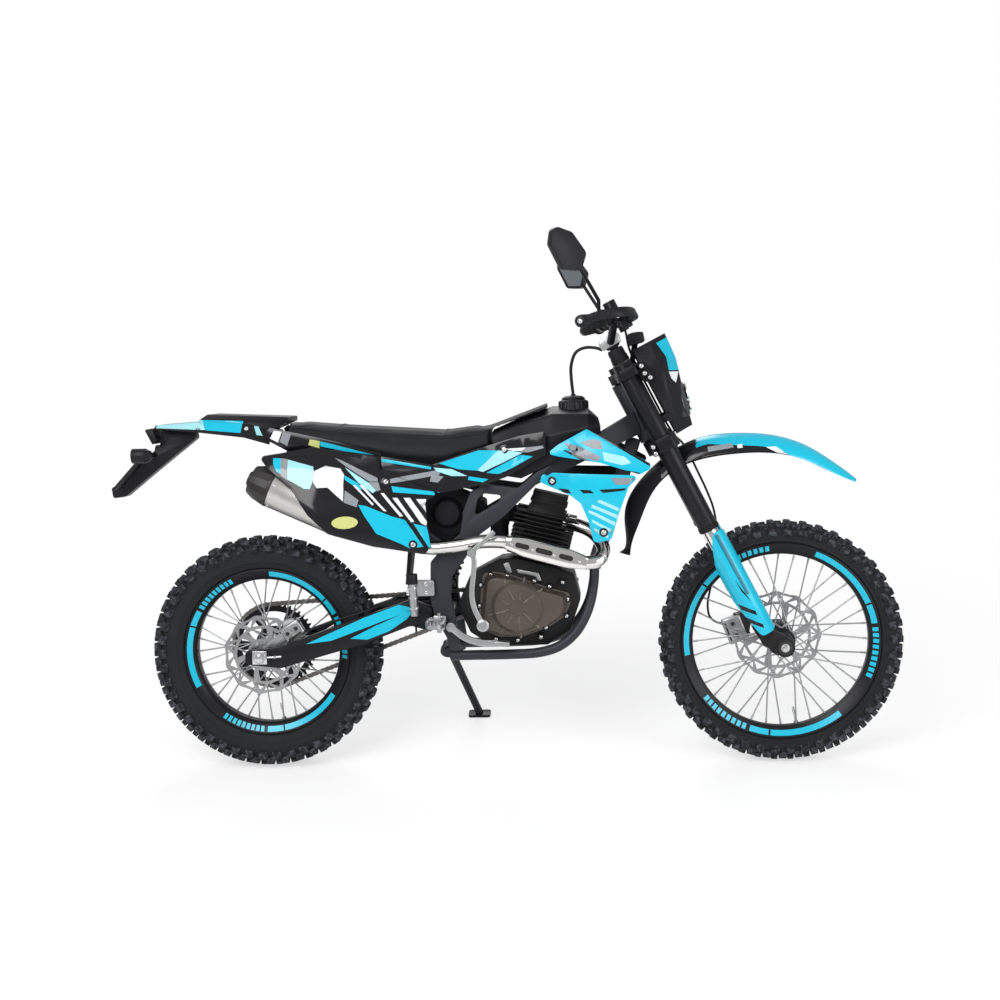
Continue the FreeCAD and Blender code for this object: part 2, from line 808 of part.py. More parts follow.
def make_grip(side):
    """Rubber grip over the bar's end, with its flange."""
    along = (bar_bend(side) - bar_tip(side)).normalize()
    sleeve_bar = round_bar(f"grip_{side}", grip_line(side, -6), along, size("grip_radius"), size("grip_length") + 6)
    flange = round_bar(f"grip_flange_{side}", grip_line(side, size("grip_length") - 5), along,
                       size("grip_radius") + 6, 5)
    outside = doc.addObject("Part::Fuse", f"grip_outside_{side}")
    outside.Base = sleeve_bar
    outside.Tool = flange
    bore = round_bar(f"grip_bore_{side}", grip_line(side, 0), along, size("bar_radius") + 0.15,
                     size("grip_length") + 1)
    return cut_object(f"bored_grip_{side}", outside, bore)


def make_lever(side):
    """Perch on the bar with the bent hand lever in front of the grip."""
    inner = grip_line(side, size("grip_length") + 12)
    outer = grip_line(side, size("grip_length") + 44)
    axis = (inner - outer).normalize()
    pieces = [bar(inner + FORWARD_FORK * 8, inner + FORWARD_FORK * 52, 26, 24, UP_FORK, 5)]
    blade = [inner + FORWARD_FORK * 46 - axis * 8, inner + FORWARD_FORK * 51 + axis * 26,
             inner + FORWARD_FORK * 40 + axis * 84, inner + FORWARD_FORK * 45 + axis * 122]
    pieces.append(strap(blade, 8, 14, UP_FORK))
    if side < 0:
        cup = inner + FORWARD_FORK * 36 - axis * 14
        pieces.append(rod(cup - UP_FORK * 4, cup + UP_FORK * 34, 17))
    body = rod(outer, inner, 17).fuse(pieces)
    return body.cut(rod(outer - axis * 9, inner + axis * 9, size("bar_radius") + 0.3))


def make_handguard(side):
    """Slim guard that loops from the bar's end round the lever."""
    tip = grip_line(side, -22)
    points = [tip + LEFT * side * 12, tip + FORWARD_FORK * 60 + LEFT * side * 14,
              tip + FORWARD_FORK * 128 - LEFT * side * 30 + UP_FORK * 6,
              fork(150, side * 255, bar_seat + 59), fork(BAR_BEND.x + 20, side * 176, bar_seat + BAR_BEND.z)]
    band = strap(points, 7, 24, UP_FORK, 26)
    return band.fuse(rod(grip_line(side, -6.3), grip_line(side, -34), 15))


def make_mirror(side):
    """Mirror head on its bent stem."""
    root = grip_line(side, size("grip_length") + 28) + UP_FORK * 19
    elbow = root + Vector(0, side * 4, 34)
    neck = Vector(938, side * 372, 1394) + fork_foot - FORK_FOOT_DRAWN
    stem = rod(root, elbow, 5).fuse(rod(elbow, neck, 5))
    face = Vector(0.5, side * 0.86, 0).normalize()
    along = Vector(-0.62 * 0.86, side * 0.5 * 0.62, 0.78).normalize()
    across = face.cross(along).normalize() * side
    outline = [(-14, -8), (20, -46), (92, -34), (124, 2), (78, 34), (12, 34)]
    points = [neck + along * u + across * v - face * 11 for u, v in outline]
    return stem.fuse(prism(points, face * 22, 16))


shaped("handlebar", make_handlebar())
keep(group_object("grip_pair", [make_grip(side) for side in SIDES]), "grips")
shaped("hand_levers", both_sides(make_lever))
shaped("handguards", both_sides(make_handguard))
shaped("mirrors", both_sides(make_mirror))


def mask_section(c, front, half, shrink):
    """Outline of the mask at one height, its back open when it is shrunk."""
    back = 70 - (40 if shrink else 0)
    side_a = front - 46
    inside = half - shrink
    section = [(back, -inside), (side_a, -inside), (front - shrink, -inside * 0.5), (front - shrink, inside * 0.5),
               (side_a, inside), (back, inside)]
    return [fork(a, b, c) for a, b in section]


def make_headlight_mask():
    """Front mask with its sides swept back, open at the rear, with clips round the fork legs."""
    heights = ((662, 122, 62), (770, 146, 96), (850, 166, 100), (925, 172, 70))
    corners = [0, 18, 18, 18, 18, 0]
    shells = [skin([mask_section(*height, shrink) for height in heights], corners) for shrink in (0, 5)]
    window = fork_prism([(90, 689), (180, 689), (180, 781), (90, 781)], -54, 54)
    clips = []
    for side in SIDES:
        for c in (706, 838):
            clips.append(fork_prism([(40, c), (80, c), (80, c + 20), (40, c + 20)], side * 84, side * 92))
        clips.append(fork_prism([(70, 700), (74, 700), (74, 866), (70, 866)], side * 70, side * 92))
    grown = size("fork_outer_radius") + size("fit_clearance")
    legs = [rod(fork(leg_a, side * leg_y, 680), fork(leg_a, side * leg_y, 880), grown) for side in SIDES]
    return shells[0].cut(shells[1]).fuse(clips).cut(legs + [window])


def make_headlight():
    """Lamp unit in the lower half of the mask."""
    sections = []
    for c, half in ((690, 46), (735, 52), (780, 53)):
        front = 132 + (c - 690) * 0.23
        plan = [(80, -half), (front - 12, -half), (front, -half * 0.5), (front, half * 0.5), (front - 12, half),
                (80, half)]
        sections.append([fork(a, b, c) for a, b in plan])
    return skin(sections, [0, 8, 14, 14, 8, 0])


def make_instrument():
    """Instrument box on a bracket from the upper clamp."""
    box = fork_prism([(66, 940), (112, 930), (120, 958), (78, 972)], -58, 58, 6)
    top = clamp_top + size("fit_clearance")
    bracket = fork_prism([(42, top), (60, top), (96, 938), (80, 944)], -16, 16)
    return box.fuse(bracket)


shaped("headlight_mask", make_headlight_mask())
shaped("headlight", make_headlight())
shaped("instrument", make_instrument())


def arched_section(crown, ahead, half, drop, thick):
    """Arched outline square to the fender's run: outer arc, edge, inner arc, edge."""
    out = LEFT.cross(ahead).normalize()

    def at(y, rise):
        return crown + LEFT * y + out * rise

    outer = Part.Arc(at(-half, -drop), at(0, 0), at(half, -drop)).toShape()
    inner = Part.Arc(at(half - thick, -drop), at(0, -thick), at(thick - half, -drop)).toShape()
    edges = [outer, Part.LineSegment(at(half, -drop), at(half - thick, -drop)).toShape(), inner,
             Part.LineSegment(at(thick - half, -drop), at(-half, -drop)).toShape()]
    return Part.Wire(edges)


FENDER_RUN = (
    # x, z, half width and depth of the arch, from the tail behind the wheel to the nose
    (1030, 606, 44, 30), (1046, 700, 56, 40), (1084, 800, 60, 46), (1150, 866, 62, 42), (1250, 924, 66, 56),
    (1375, 938, 70, 54), (1470, 929, 68, 48), (1560, 898, 58, 40), (1640, 846, 44, 28), (1698, 800, 24, 9),
)


def make_front_fender():
    """High front mudguard, an arched sheet that follows one line from its tail to its nose."""
    offset = fork_foot - FORK_FOOT_DRAWN
    crowns = [Vector(x, 0, z) + offset for x, z, half, drop in FENDER_RUN]
    sections = []
    for index, (x, z, half, drop) in enumerate(FENDER_RUN):
        before = crowns[max(index - 1, 0)]
        after = crowns[min(index + 1, len(crowns) - 1)]
        ahead = (before - after).normalize()
        sections.append(arched_section(crowns[index], ahead, half, drop, size("fender_thickness")))
    top = size("lower_clamp_at") - size("fit_clearance")
    mount = fork_prism([(6, top - 24), (58, top - 14), (58, top), (6, top)], -30, 30)
    return Part.makeLoft(sections, True, False).fuse(mount)


shaped("front_fender", make_front_fender())


def make_front_caliper():
    """Brake caliper behind the left fork lug, straddling the disc."""
    y = size("disc_offset")
    centre = front_axle + Vector(-104, y, 34)
    block = prism([centre + Vector(x, -22, z) for x, z in ((-24, -30), (22, -34), (30, 24), (6, 36), (-20, 30))],
                  LEFT * 36, 7)
    slot = rod(front_axle + LEFT * (y - 4.5), front_axle + LEFT * (y + 4.5), size("front_disc_radius") + 4)
    hanger = bar(front_axle + Vector(-88, leg_y - 8, 44), fork(18, leg_y - 8, 70), 12, 26, corner=4)
    return block.cut(slot).fuse(hanger).cut([make_fork_lug(1), slider_space(1)])


shaped("front_caliper", make_front_caliper())


def make_front_hose():
    """Brake hose from the right lever down in front of the fork to the caliper."""
    points = [fork(70, -238, 1031), fork(80, -196, 1020), fork(76, -140, 980), fork(62, -88, 935),
              fork(60, -46, 880), fork(60, -30, 810), fork(60, -26, 750), fork(61, 22, 690), fork(66, 52, 650), fork(76, 86, 628),
              fork(80, 98, 594), fork(78, 104, 540), fork(76, 110, 470), fork(70, 126, 405), fork(50, 142, 345),
              fork(14, 146, 275), fork(-34, 138, 215), fork(-78, 120, 165), fork(-92, 104, 128),
              fork(-74, 92, 100), fork(-40, 82, 92)]
    return bent_tube(points, size("hose_radius"))


shaped("front_brake_hose", make_front_hose())


# Frame

half_frame = size("frame_half_width")
frame_inside = half_frame - size("frame_plate")
down_tube = bar(fork(-40, 0, head_low + 24), Vector(956, 0, 566), 32, 40, FORWARD_FORK, 6)


def make_head_tube():
    """Steering head with the single front down tube."""
    radius = size("head_tube_radius")
    tube = sleeve(fork(0, 0, head_low), fork(0, 0, head_high), radius, radius - size("head_tube_wall"))
    bore = rod(fork(0, 0, head_low - 60), fork(0, 0, head_high + 60), radius - size("head_tube_wall"))
    return tube.fuse(down_tube).cut(bore)


def make_spar(side):
    """Side spar from the steering head down to the swingarm pivot."""
    outer = side * half_frame
    inner = side * frame_inside
    outline = [(842, 866), (800, 812), (706, 724), (628, 668), (590, 604), (556, 556), (552, 500), (566, 420),
               (574, 346), (548, 346), (536, 388), (504, 446), (494, 500), (498, 602), (532, 640), (584, 680),
               (598, 752), (618, 800), (662, 818), (750, 804), (806, 850)]
    soft = [0, 0] + [18] * 18 + [0]
    body = side_prism(outline, inner, outer, soft)
    window = side_prism([(636, 776), (625, 728), (694, 766), (704, 786), (656, 792)], inner - side, outer + side, 6)
    neck = [Vector(842, outer, 866), Vector(800, outer, 812), Vector(800, inner, 812), Vector(842, inner, 866)]
    high = fork(15, side * 14, head_low + 115)
    low = fork(-31, side * 14, head_low + 44)
    tip = [Vector(1078, side * 34, 1006), Vector(1098, side * 34, 946), Vector(1098, side * 14, 946),
           Vector(1078, side * 14, 1006)]
    head = rod(fork(0, 0, head_low - 60), fork(0, 0, head_high + 60), size("head_tube_radius"))
    return body.cut(window).fuse(skin([neck, tip])).cut([head, down_tube])


def make_cradle(side):
    """Lower tube of the cradle, from the down tube under the engine to the pivot plate."""
    y = side * (half_frame - 13)
    points = [Vector(958, side * 15, 582), Vector(944, side * 60, 470), Vector(905, y, 372), Vector(790, y, 334),
              Vector(545, y, 331.7)]
    return bent_tube(points, size("tube_radius"), 60).cut(down_tube)


shock_top = Vector(604, 0, 735)
shock_low = Vector(468, 0, 400)


def make_spars():
    """Both side spars with the cross tube that carries the shock."""
    cross = rod(shock_top - LEFT * (half_frame - 10), shock_top + LEFT * (half_frame - 10), 13)
    middle = rod(shock_top - LEFT * 30, shock_top + LEFT * 30, 30)
    return make_spar(-1).fuse([make_spar(1), cross]).cut(middle)


shaped("frame_head", make_head_tube())
shaped("frame_spars", make_spars())


def make_subframe():
    """Rear subframe: a rail and a stay on each side, joined at the back."""
    rails = []
    inner = frame_inside - size("fit_clearance")
    for side in SIDES:
        top = [Vector(640, side * (inner - 10), 806), Vector(420, side * 78, 860), Vector(60, side * 56, 959.5)]
        stay = [Vector(540, side * (inner - 9), 640), Vector(150, side * 66, 934)]
        rails.append(rod(top[0], top[1], 10))
        rails.append(rod(top[1], top[2], 10))
        rails.append(rod(stay[0], stay[1], 9))
    rails.append(rod(Vector(60, -56, 960), Vector(60, 56, 960), 9))
    rails.append(rod(Vector(420, -78, 860), Vector(420, 78, 860), 9))
    rails.append(side_prism([(60, 954), (20, 974), (20, 983.3), (60, 970)], -46, 46))
    return rails[0].fuse(rails[1:])


shaped("rear_subframe", make_subframe())

ARM_INSIDE = 88
ARM_OUTSIDE = 112


def make_swingarm():
    """Swingarm of two tapered beams with its pivot tube, brace and axle plates."""
    arms = []
    pivot = Vector(size("arm_pivot_x"), 0, size("arm_pivot_z"))
    tail = rear_axle
    for side in SIDES:
        inner = side * ARM_INSIDE
        outer = side * ARM_OUTSIDE
        outline = [tail + Vector(-42, 0, 18), tail + Vector(-44, 0, -20), tail + Vector(60, 0, -32),
                   Vector(300, 0, 372), Vector(430, 0, 420), Vector(498, 0, 428), Vector(498, 0, 472),
                   Vector(440, 0, 498), Vector(404, 0, 484), Vector(250, 0, 434), tail + Vector(60, 0, 28)]
        arms.append(side_prism([(point.x, point.z) for point in outline], inner, outer, 12))
        link = [(396, 430), (488, 434), (488, 470), (396, 462)]
        arms.append(side_prism(link, side * 52, side * (ARM_INSIDE + 1)))
        arms.append(side_prism([(480, 434), (532, 436), (532, 468), (480, 470)], side * 52, side * 76))
        plate = [(tail.x - 27, tail.z + 18), (tail.x - 27, tail.z - 18), (tail.x + 30, tail.z - 20),
                 (tail.x + 30, tail.z + 18)]
        arms.append(side_prism(plate, outer - side, outer + side * 4, 4))
    reach = frame_inside - size("fit_clearance")
    arms.append(rod(pivot - LEFT * reach, pivot + LEFT * reach, 20))
    arms.append(rod(Vector(372, -90, 424), Vector(372, 90, 424), 19))
    body = arms[0].fuse(arms[1:])
    return body.cut(rod(rear_axle - LEFT * 130, rear_axle + LEFT * 130, size("axle_radius") + 0.2))


shaped("swingarm", make_swingarm())
keep(round_bar("rear_axle_bar", rear_axle - LEFT * size("axle_half_length"), LEFT, size("axle_radius"),
               size("axle_half_length") * 2), "rear_axle")


def make_rear_shock():
    """Single shock between the spars and the linkage, with its spring between two collars."""
    axis = (shock_low - shock_top).normalize()
    body = rod(shock_top, shock_top + axis * 110, 23)
    collar = rod(shock_top + axis * 84, shock_top + axis * 92, 33)
    spring = rod(shock_top + axis * 90, shock_top + axis * 244, 29)
    seat = rod(shock_top + axis * 242, shock_top + axis * 250, 33)
    foot = rod(shock_top + axis * 245, shock_low, 12)
    eye = rod(shock_top - LEFT * 29.7, shock_top + LEFT * 29.7, 18)
    link = bar(shock_low + Vector(6, 0, 0), Vector(393.5, 0, 424), 30, 20)
    return body.fuse([collar, spring, seat, foot, eye, link])


shaped("rear_shock", make_rear_shock())


# Engine

case_half = 62


def shrunk(outline, share):
    """The outline drawn in toward its middle."""
    middle_x = sum(x for x, z in outline) / len(outline)
    middle_z = sum(z for x, z in outline) / len(outline)
    return [(middle_x + (x - middle_x) * share, middle_z + (z - middle_z) * share) for x, z in outline]


def side_hump(outline, share, y_from, y_to, corner):
    """Solid that narrows from one upright plane to the next."""
    near = [Vector(x, y_from, z) for x, z in outline]
    far = [Vector(x, y_to, z) for x, z in shrunk(outline, share)]
    return skin([near, far], corner)


def make_crankcase():
    """Crankcase block between the side covers."""
    outline = [(566, 470), (604, 556), (690, 600), (735, 603.7), (848, 575.6), (900, 552), (916, 480), (885, 392),
               (820, 352), (660, 352), (600, 392)]
    return side_prism(outline, -case_half, case_half, 14)


def make_clutch_cover():
    """Right engine cover: flange, domed wall and a round bulge over the clutch."""
    outline = [(622, 408), (642, 562), (672, 568), (722, 558), (828, 518), (886, 502), (888, 472), (872, 436),
               (822, 404), (752, 380), (682, 380)]
    flange = side_prism(outline, -case_half, -case_half - 14, 16)
    dome = side_hump(shrunk(outline, 0.95), 0.9, -case_half - 13, -case_half - 50, 18)
    bulge = cone(Vector(740, -case_half - 49, 470), Vector(740, -case_half - 62, 470), 76, 64)
    return flange.fuse([dome, bulge])


def make_generator_cover():
    """Left engine cover with its round drum."""
    outline = [(660, 372), (660, 500), (740, 552), (850, 540), (900, 480), (880, 410), (800, 368)]
    drum = cone(Vector(800, case_half + 28, 462), Vector(800, case_half + 50, 462), 72, 64)
    return side_prism(outline, case_half, case_half + 30, 16).fuse(drum)


cylinder_foot = Vector(792, 0, 590)
cylinder_tilt = Rotation(LEFT, size("cylinder_lean"))
port_axis = cylinder_tilt.multVec(Vector(1, 0, 0))
cylinder_up = cylinder_tilt.multVec(Vector(0, 0, 1))
PORT_HEIGHT = 122
PORT_DEPTH = 56.3
exhaust_port = cylinder_foot + cylinder_up * PORT_HEIGHT + port_axis * PORT_DEPTH - LEFT * 30
inlet_port = cylinder_foot + cylinder_up * PORT_HEIGHT - port_axis * PORT_DEPTH


def block_sketch(body, name, half_x, half_y, lift):
    """Rectangle about the cylinder's axis."""
    corners = [(-half_x, -half_y), (half_x, -half_y), (half_x, half_y), (-half_x, half_y)]
    return draw_outline(new_sketch(body, name, lift), corners)


def finned_block(name, low, high, core_half, fin_low, fin_half, fins):
    """Square core with a row of cooling fins, bored for the two ports."""
    body = new_body(name + "_body", cylinder_foot, cylinder_tilt)
    pad(body, block_sketch(body, name + "_core", core_half, core_half, low), high - low)
    fin = block_sketch(body, name + "_fin", fin_half, fin_half - 3, fin_low)
    fin_pad = pad(body, fin, size("fin_thickness"))
    doc.recompute()
    row_pattern(body, fin_pad, fin, size("fin_step"), fins)
    exhaust = round_bar(name + "_exhaust_way", exhaust_port, port_axis, 28, 60)
    inlet = round_bar(name + "_inlet_way", inlet_port, port_axis * -1, 34, 60)
    return body, group_object(name + "_ways", [exhaust, inlet])


def make_cylinder():
    """Finned cylinder leaning a little forward."""
    body, ways = finned_block("cylinder", 0.3, 96, 52, 14, 86, size("cylinder_fins"))
    return keep(cut_object("bored_cylinder", body, ways), "cylinder")


def make_cylinder_head():
    """Cylinder head with fins and its rocker cover."""
    body, ways = finned_block("cylinder_head", 96.3, 196, 50, 100, 87, size("head_fins"))
    pad(body, block_sketch(body, "head_core", 56, 56, 96.3), 54)
    pad(body, block_sketch(body, "rocker_rim", 53, 56, 168), 8)
    return keep(cut_object("bored_head", body, ways), "cylinder_head")


shaped("crankcase", make_crankcase())
shaped("clutch_cover", make_clutch_cover())
shaped("generator_cover", make_generator_cover())
make_cylinder()
make_cylinder_head()


def make_carburettor():
    """Carburettor and its rubbers between head and airbox."""
    flange = rod(inlet_port, inlet_port - port_axis * 14, 24)
    throat = rod(inlet_port - port_axis * 8, Vector(650.3, 0, 726), 24)
    bowl = rod(Vector(688, 0, 724), Vector(688, 0, 652), 26)
    clamps = [rod(Vector(x, 0, z), Vector(x + 6, 0, z - 0.6), 27) for x, z in ((664, 724), (712, 718))]
    return flange.fuse([throat, bowl] + clamps)


def make_airbox():
    """Airbox behind the carburettor, recessed round the shock, with a round cover on the right."""
    box = side_prism([(428, 660), (428, 800), (470, 836), (592, 790), (650, 764), (650, 694), (592, 690), (540, 650)],
                     -57, 57, 10)
    cover = cone(Vector(546, -56, 736), Vector(546, -74, 736), 46, 34)
    flap = side_prism([(430, 662), (442, 662), (424, 530), (416, 530)], -46, 46, 2)
    recess = side_prism([(520, 640), (636, 640), (636, 800), (560, 800)], -38, 38)
    shock_tube = rod(shock_top - LEFT * 80, shock_top + LEFT * 80, 13 + size("fit_clearance"))
    return box.fuse([cover, flap]).cut([recess, shock_tube])


shaped("intake", Part.makeCompound([make_carburettor(), make_airbox()]))

HEADER_RADIUS = 19
header_low = Vector(900, -138, 578)
header_high = Vector(760, -134, 600)


def header_route():
    """Points of the exhaust pipe from the head round to the silencer."""
    return [exhaust_port + port_axis * 6, Vector(938, -44, 678), Vector(972, -86, 640), Vector(966, -126, 592),
            header_low, header_high, Vector(560, -130, 632), Vector(420, -130, 664), Vector(302, -140, 716)]


def make_silencer():
    """Silencer body with a tapered end cap and its outlet."""
    front = Vector(300, -140, 716)
    back = Vector(20, -148, 846)
    axis = (back - front).normalize()
    pieces = [cone(front + axis * 22, front + axis * 42, 36, 54), rod(front + axis * 40, front + axis * 266, 55),
              rod(front + axis * 62, front + axis * 72, 56), rod(front + axis * 256, front + axis * 266, 56),
              cone(front + axis * 266, front + axis * 310, 55, 38), rod(front + axis * 266, front + axis * 330, 20)]
    return rod(front, front + axis * 36, 34).fuse(pieces).cut(rod(front + axis * 280, front + axis * 340, 16))


silencer_shape = make_silencer()
shaped("silencer", silencer_shape)
header_flange = rod(exhaust_port, exhaust_port + port_axis * 12, 24)
header_shape = bent_tube(header_route(), HEADER_RADIUS, 24).cut(silencer_shape).fuse(header_flange)
shaped("exhaust_header", header_shape)


def make_heat_shield():
    """Curved shield round the outside of the exhaust pipe, with four slots."""
    run = (header_high - header_low).normalize()
    start = header_low - run * 6
    end = header_high + run * 62
    inner = HEADER_RADIUS + size("fit_clearance")
    shell = sleeve(start, end, inner + 9, inner + 6)
    lift = LEFT.cross(run).normalize() * -1
    outline = [start + lift * -16, start + run * 22 + lift * -30, end + lift * -30, end + run * 4 + lift * 26,
               start + run * 30 + lift * 30, start + lift * 20]
    window = prism([point - LEFT * 8 for point in outline], LEFT * -60, 14)
    slots = []
    for index in range(4):
        middle = start + run * (34 + 44 * index) + lift * 2
        slot = [middle + run * i + lift * j for i, j in ((-14, -6), (14, -6), (14, 6), (-14, 6))]
        slots.append(prism([point - LEFT * 14 for point in slot], LEFT * -60, 5.5))
    studs = [rod(start + run * at - LEFT * (inner - 1), start + run * at - LEFT * (inner + 7), 5)
             for at in (12, 190)]
    return shell.common(window).cut(slots).fuse(studs).cut([rod(start, end, inner), header_shape])


shaped("heat_shield", make_heat_shield())


def make_kick_starter():
    """Bent kick lever on the right cover with its folding pedal."""
    shaft = rod(Vector(646, -112.3, 430), Vector(646, -172, 430), 15)
    points = [Vector(646, -166, 430), Vector(618, -166, 510), Vector(628, -166, 590), Vector(622, -166, 640)]
    lever = strap(points, 20, 12, LEFT)
    pedal = bar(Vector(616, -166, 632), Vector(684, -172, 690), 18, 14, LEFT, 5)
    knuckle = rod(Vector(621, -156, 634), Vector(621, -177, 634), 14)
    return shaft.fuse([lever, pedal, knuckle])


def make_brake_pedal():
    """Brake pedal arm from its pivot to the toe pad."""
    arm = strap([Vector(552, -127, 420), Vector(592, -127, 386), Vector(640, -128, 372), Vector(684, -130, 372)],
                18, 10, LEFT)
    toe = bar(Vector(676, -131, 373), Vector(716, -132, 370), 26, 14, corner=3)
    boss = rod(Vector(552, -half_frame - 0.3, 420), Vector(552, -134, 420), 13)
    return arm.fuse([toe, boss])


def make_gear_lever():
    """Gear lever on the left."""
    boss = rod(Vector(640, case_half + 0.3, 400), Vector(640, 126, 400), 11)
    arm = strap([Vector(640, 120, 400), Vector(690, 121, 394), Vector(748, 126, 382)], 14, 9, LEFT)
    toe = rod(Vector(748, 112, 382), Vector(748, 152, 382), 9)
    return boss.fuse([arm, toe])


def make_footpeg(side):
    """Footpeg with toothed edges and its bracket."""
    x = size("peg_x")
    z = size("peg_z")
    inner = side * (half_frame + 0.3)
    bracket = side_prism([(x - 14, z - 30), (x + 24, z - 30), (x + 24, z + 14), (x - 14, z + 14)],
                         inner, inner + side * 26, 5)
    start = inner + side * 20
    length = size("peg_length")
    step = length / size("peg_teeth")
    comb = [(start, z - 8)]
    for index in range(int(size("peg_teeth"))):
        comb += [(start + side * step * index, z + 4), (start + side * step * (index + 0.5), z + 12)]
    comb += [(start + side * length, z + 4), (start + side * length, z - 8)]
    peg = prism([Vector(x - 26, y, height) for y, height in comb], Vector(52, 0, 0))
    well = side_prism([(x - 17, z - 2), (x + 17, z - 2), (x + 17, z + 20), (x - 17, z + 20)],
                      start + side * 14, start + side * (length - 12))
    return bracket.fuse(peg.cut(well))


shaped("kick_starter", make_kick_starter())
shaped("foot_levers", Part.makeCompound([make_brake_pedal(), make_gear_lever()]))
shaped("footpegs", both_sides(make_footpeg))


# Rear brake

def make_rear_caliper():
    """Caliper above the swingarm, straddling the rear disc."""
    y = -size("disc_offset")
    centre = rear_axle + Vector(88, y, 74)
    block = prism([centre + Vector(x, -16, z) for x, z in ((-26, -14), (10, -34), (34, -10), (16, 30), (-22, 26))],
                  LEFT * 34, 6)
    slot = rod(rear_axle + LEFT * (y - 4), rear_axle + LEFT * (y + 4), size("rear_disc_radius") + 4)
    carrier = bar(rear_axle - LEFT * 86, centre - LEFT * 14, 30, 3, LEFT)
    eye = rod(rear_axle - LEFT * 84.5, rear_axle - LEFT * 87.5, 20)
    return block.fuse([carrier, eye]).cut([slot, rod(rear_axle, rear_axle - LEFT * 120, size("axle_radius") + 0.2)])


def make_rear_master():
    """Rear master cylinder on the right spar with its reservoir."""
    y = -half_frame - 23
    barrel = rod(Vector(452, y, 452), Vector(447, y, 546), 12)
    cup = rod(Vector(447, y, 544), Vector(446, y, 572), 16)
    ears = side_prism([(446, 508), (508, 508), (508, 552), (446, 552)], y + 8, -half_frame - 0.3, 6)
    return barrel.fuse([cup, ears])


def make_rear_hose():
    """Brake hose from the master cylinder along the swingarm to the caliper."""
    points = [Vector(435.3, -129, 519.5), Vector(410, -127, 513), Vector(376, -118, 494), Vector(338, -106, 476),
              Vector(296, -101, 461), Vector(246, -100, 447), Vector(196, -98, 431), Vector(158, -92, 417),
              Vector(122.9, -84, 405)]
    return bent_tube(points, size("hose_radius"))


shaped("rear_brake", Part.makeCompound([make_rear_caliper(), make_rear_master()]))
shaped("rear_brake_hose", make_rear_hose())


# Tank, seat and bodywork

def make_tank():
    """Fuel tank under the seat's nose, with a dome round the filler."""
    stations = [
        (680, [(0, 966), (60, 960), (74, 920), (70, 842), (0, 842)]),
        (760, [(0, 1000), (74, 984), (100, 940), (96, 830.6), (0, 830.6)]),
        (850, [(0, 1028), (86, 1008), (118, 950), (112, 871.3), (0, 871.3)]),
        (950, [(0, 1028), (86, 1006), (116, 970), (106, 930.5), (0, 930.5)]),
        (984, [(0, 1010), (60, 998), (84, 980), (76, 951), (0, 951)]),
    ]
    return hull_along_x(stations, [0, 18, 16, 4, 0, 4, 16, 18])


def make_seat():
    """Long padded seat from the tank to the tail."""
    stations = [
        (100, [(0, 1006), (62, 1002), (92, 972), (70, 959), (0, 959)]),
        (250, [(0, 991), (84, 986), (112, 948), (86, 918), (0, 918)]),
        (410, [(0, 979), (96, 972), (122, 912), (92, 874), (0, 874)]),
        (545, [(0, 968), (92, 962), (116, 900), (92, 868), (0, 868)]),
        (672, [(0, 982), (74, 974), (96, 930), (88, 924), (0, 924)]),
    ]
    nose = hull_along_x([
        (672, [(0, 982), (74, 974), (84, 968), (0, 971.5)]),
        (836, [(0, 1040), (58, 1034), (66, 1020), (0, 1030)]),
    ])
    return hull_along_x(stations, [0, 24, 16, 6, 0, 6, 16, 24]).fuse(nose)


tank_shape = make_tank()
grown_tank = tank_shape.copy()
grown_tank.scale(1.004, Vector(850, 0, 900))
shaped("fuel_tank", tank_shape)
shaped("seat", make_seat().cut(grown_tank))


def make_fuel_cap():
    """Round filler cap with grip notches, and its vent hose."""
    centre = Vector(909, 0, 1004)
    base = rod(centre, centre + Vector(0, 0, 38), 44)
    notches = []
    for index in range(12):
        angle = math.pi * index / 6
        spot = centre + Vector(math.cos(angle) * 46, math.sin(angle) * 46, 26)
        notches.append(rod(spot, spot + Vector(0, 0, 20), 5))
    dome = cone(centre + Vector(0, 0, 38), centre + Vector(0, 0, 52), 38, 28)
    vent = bent_tube([Vector(907, 0, 1052), Vector(906, 0, 1140), Vector(940, -8, 1190), Vector(990, -14, 1184)],
                     4.5, 30)
    return base.cut(notches).fuse([dome, vent]).cut(tank_shape)


shaped("fuel_cap", make_fuel_cap())


def crowned_sheet(side, stations, outline, corner=12):
    """Curved sheet through (x, (y, z) rows) stations, trimmed to a side outline."""
    thick = size("panel_thickness")
    sections = []
    for x, rows in stations:
        outer = [Vector(x, side * y, z) for y, z in rows]
        inner = [Vector(x, side * (y - thick), z) for y, z in reversed(rows)]
        sections.append(outer + inner)
    return skin(sections).common(side_prism(outline, side * 60, side * 300, corner))


def boss(side, x, z, y_from, y_to):
    """Round stand-off between a panel and what carries it."""
    return rod(Vector(x, side * y_from, z), Vector(x, side * y_to, z), 9)


def make_upper_shroud(side):
    """Upper wing of the side bodywork."""
    outline = [(835, 901), (868, 926), (946, 966), (1130, 862), (1088, 840), (981, 874), (867, 893)]
    stations = [(820, [(126, 990), (140, 930), (152, 850)]), (950, [(130, 990), (158, 920), (176, 840)]),
                (1140, [(168, 960), (182, 900), (188, 820)])]
    return crowned_sheet(side, stations, outline).fuse(boss(side, 908, 918, 100, 158)).cut(grown_tank)


def make_lower_shroud(side):
    """Scoop below the wing."""
    outline = [(808, 826), (850, 849), (1088, 838), (1057, 808), (1029, 735), (1007, 662), (959, 653), (945, 716),
               (926, 763), (900, 785), (828, 816)]
    stations = [(800, [(130, 870), (134, 780), (134, 640)]), (900, [(176, 870), (170, 770), (158, 640)]),
                (1095, [(192, 870), (190, 770), (172, 640)])]
    return crowned_sheet(side, stations, outline).fuse(boss(side, 826, 834, half_frame + size("fit_clearance"), 140))


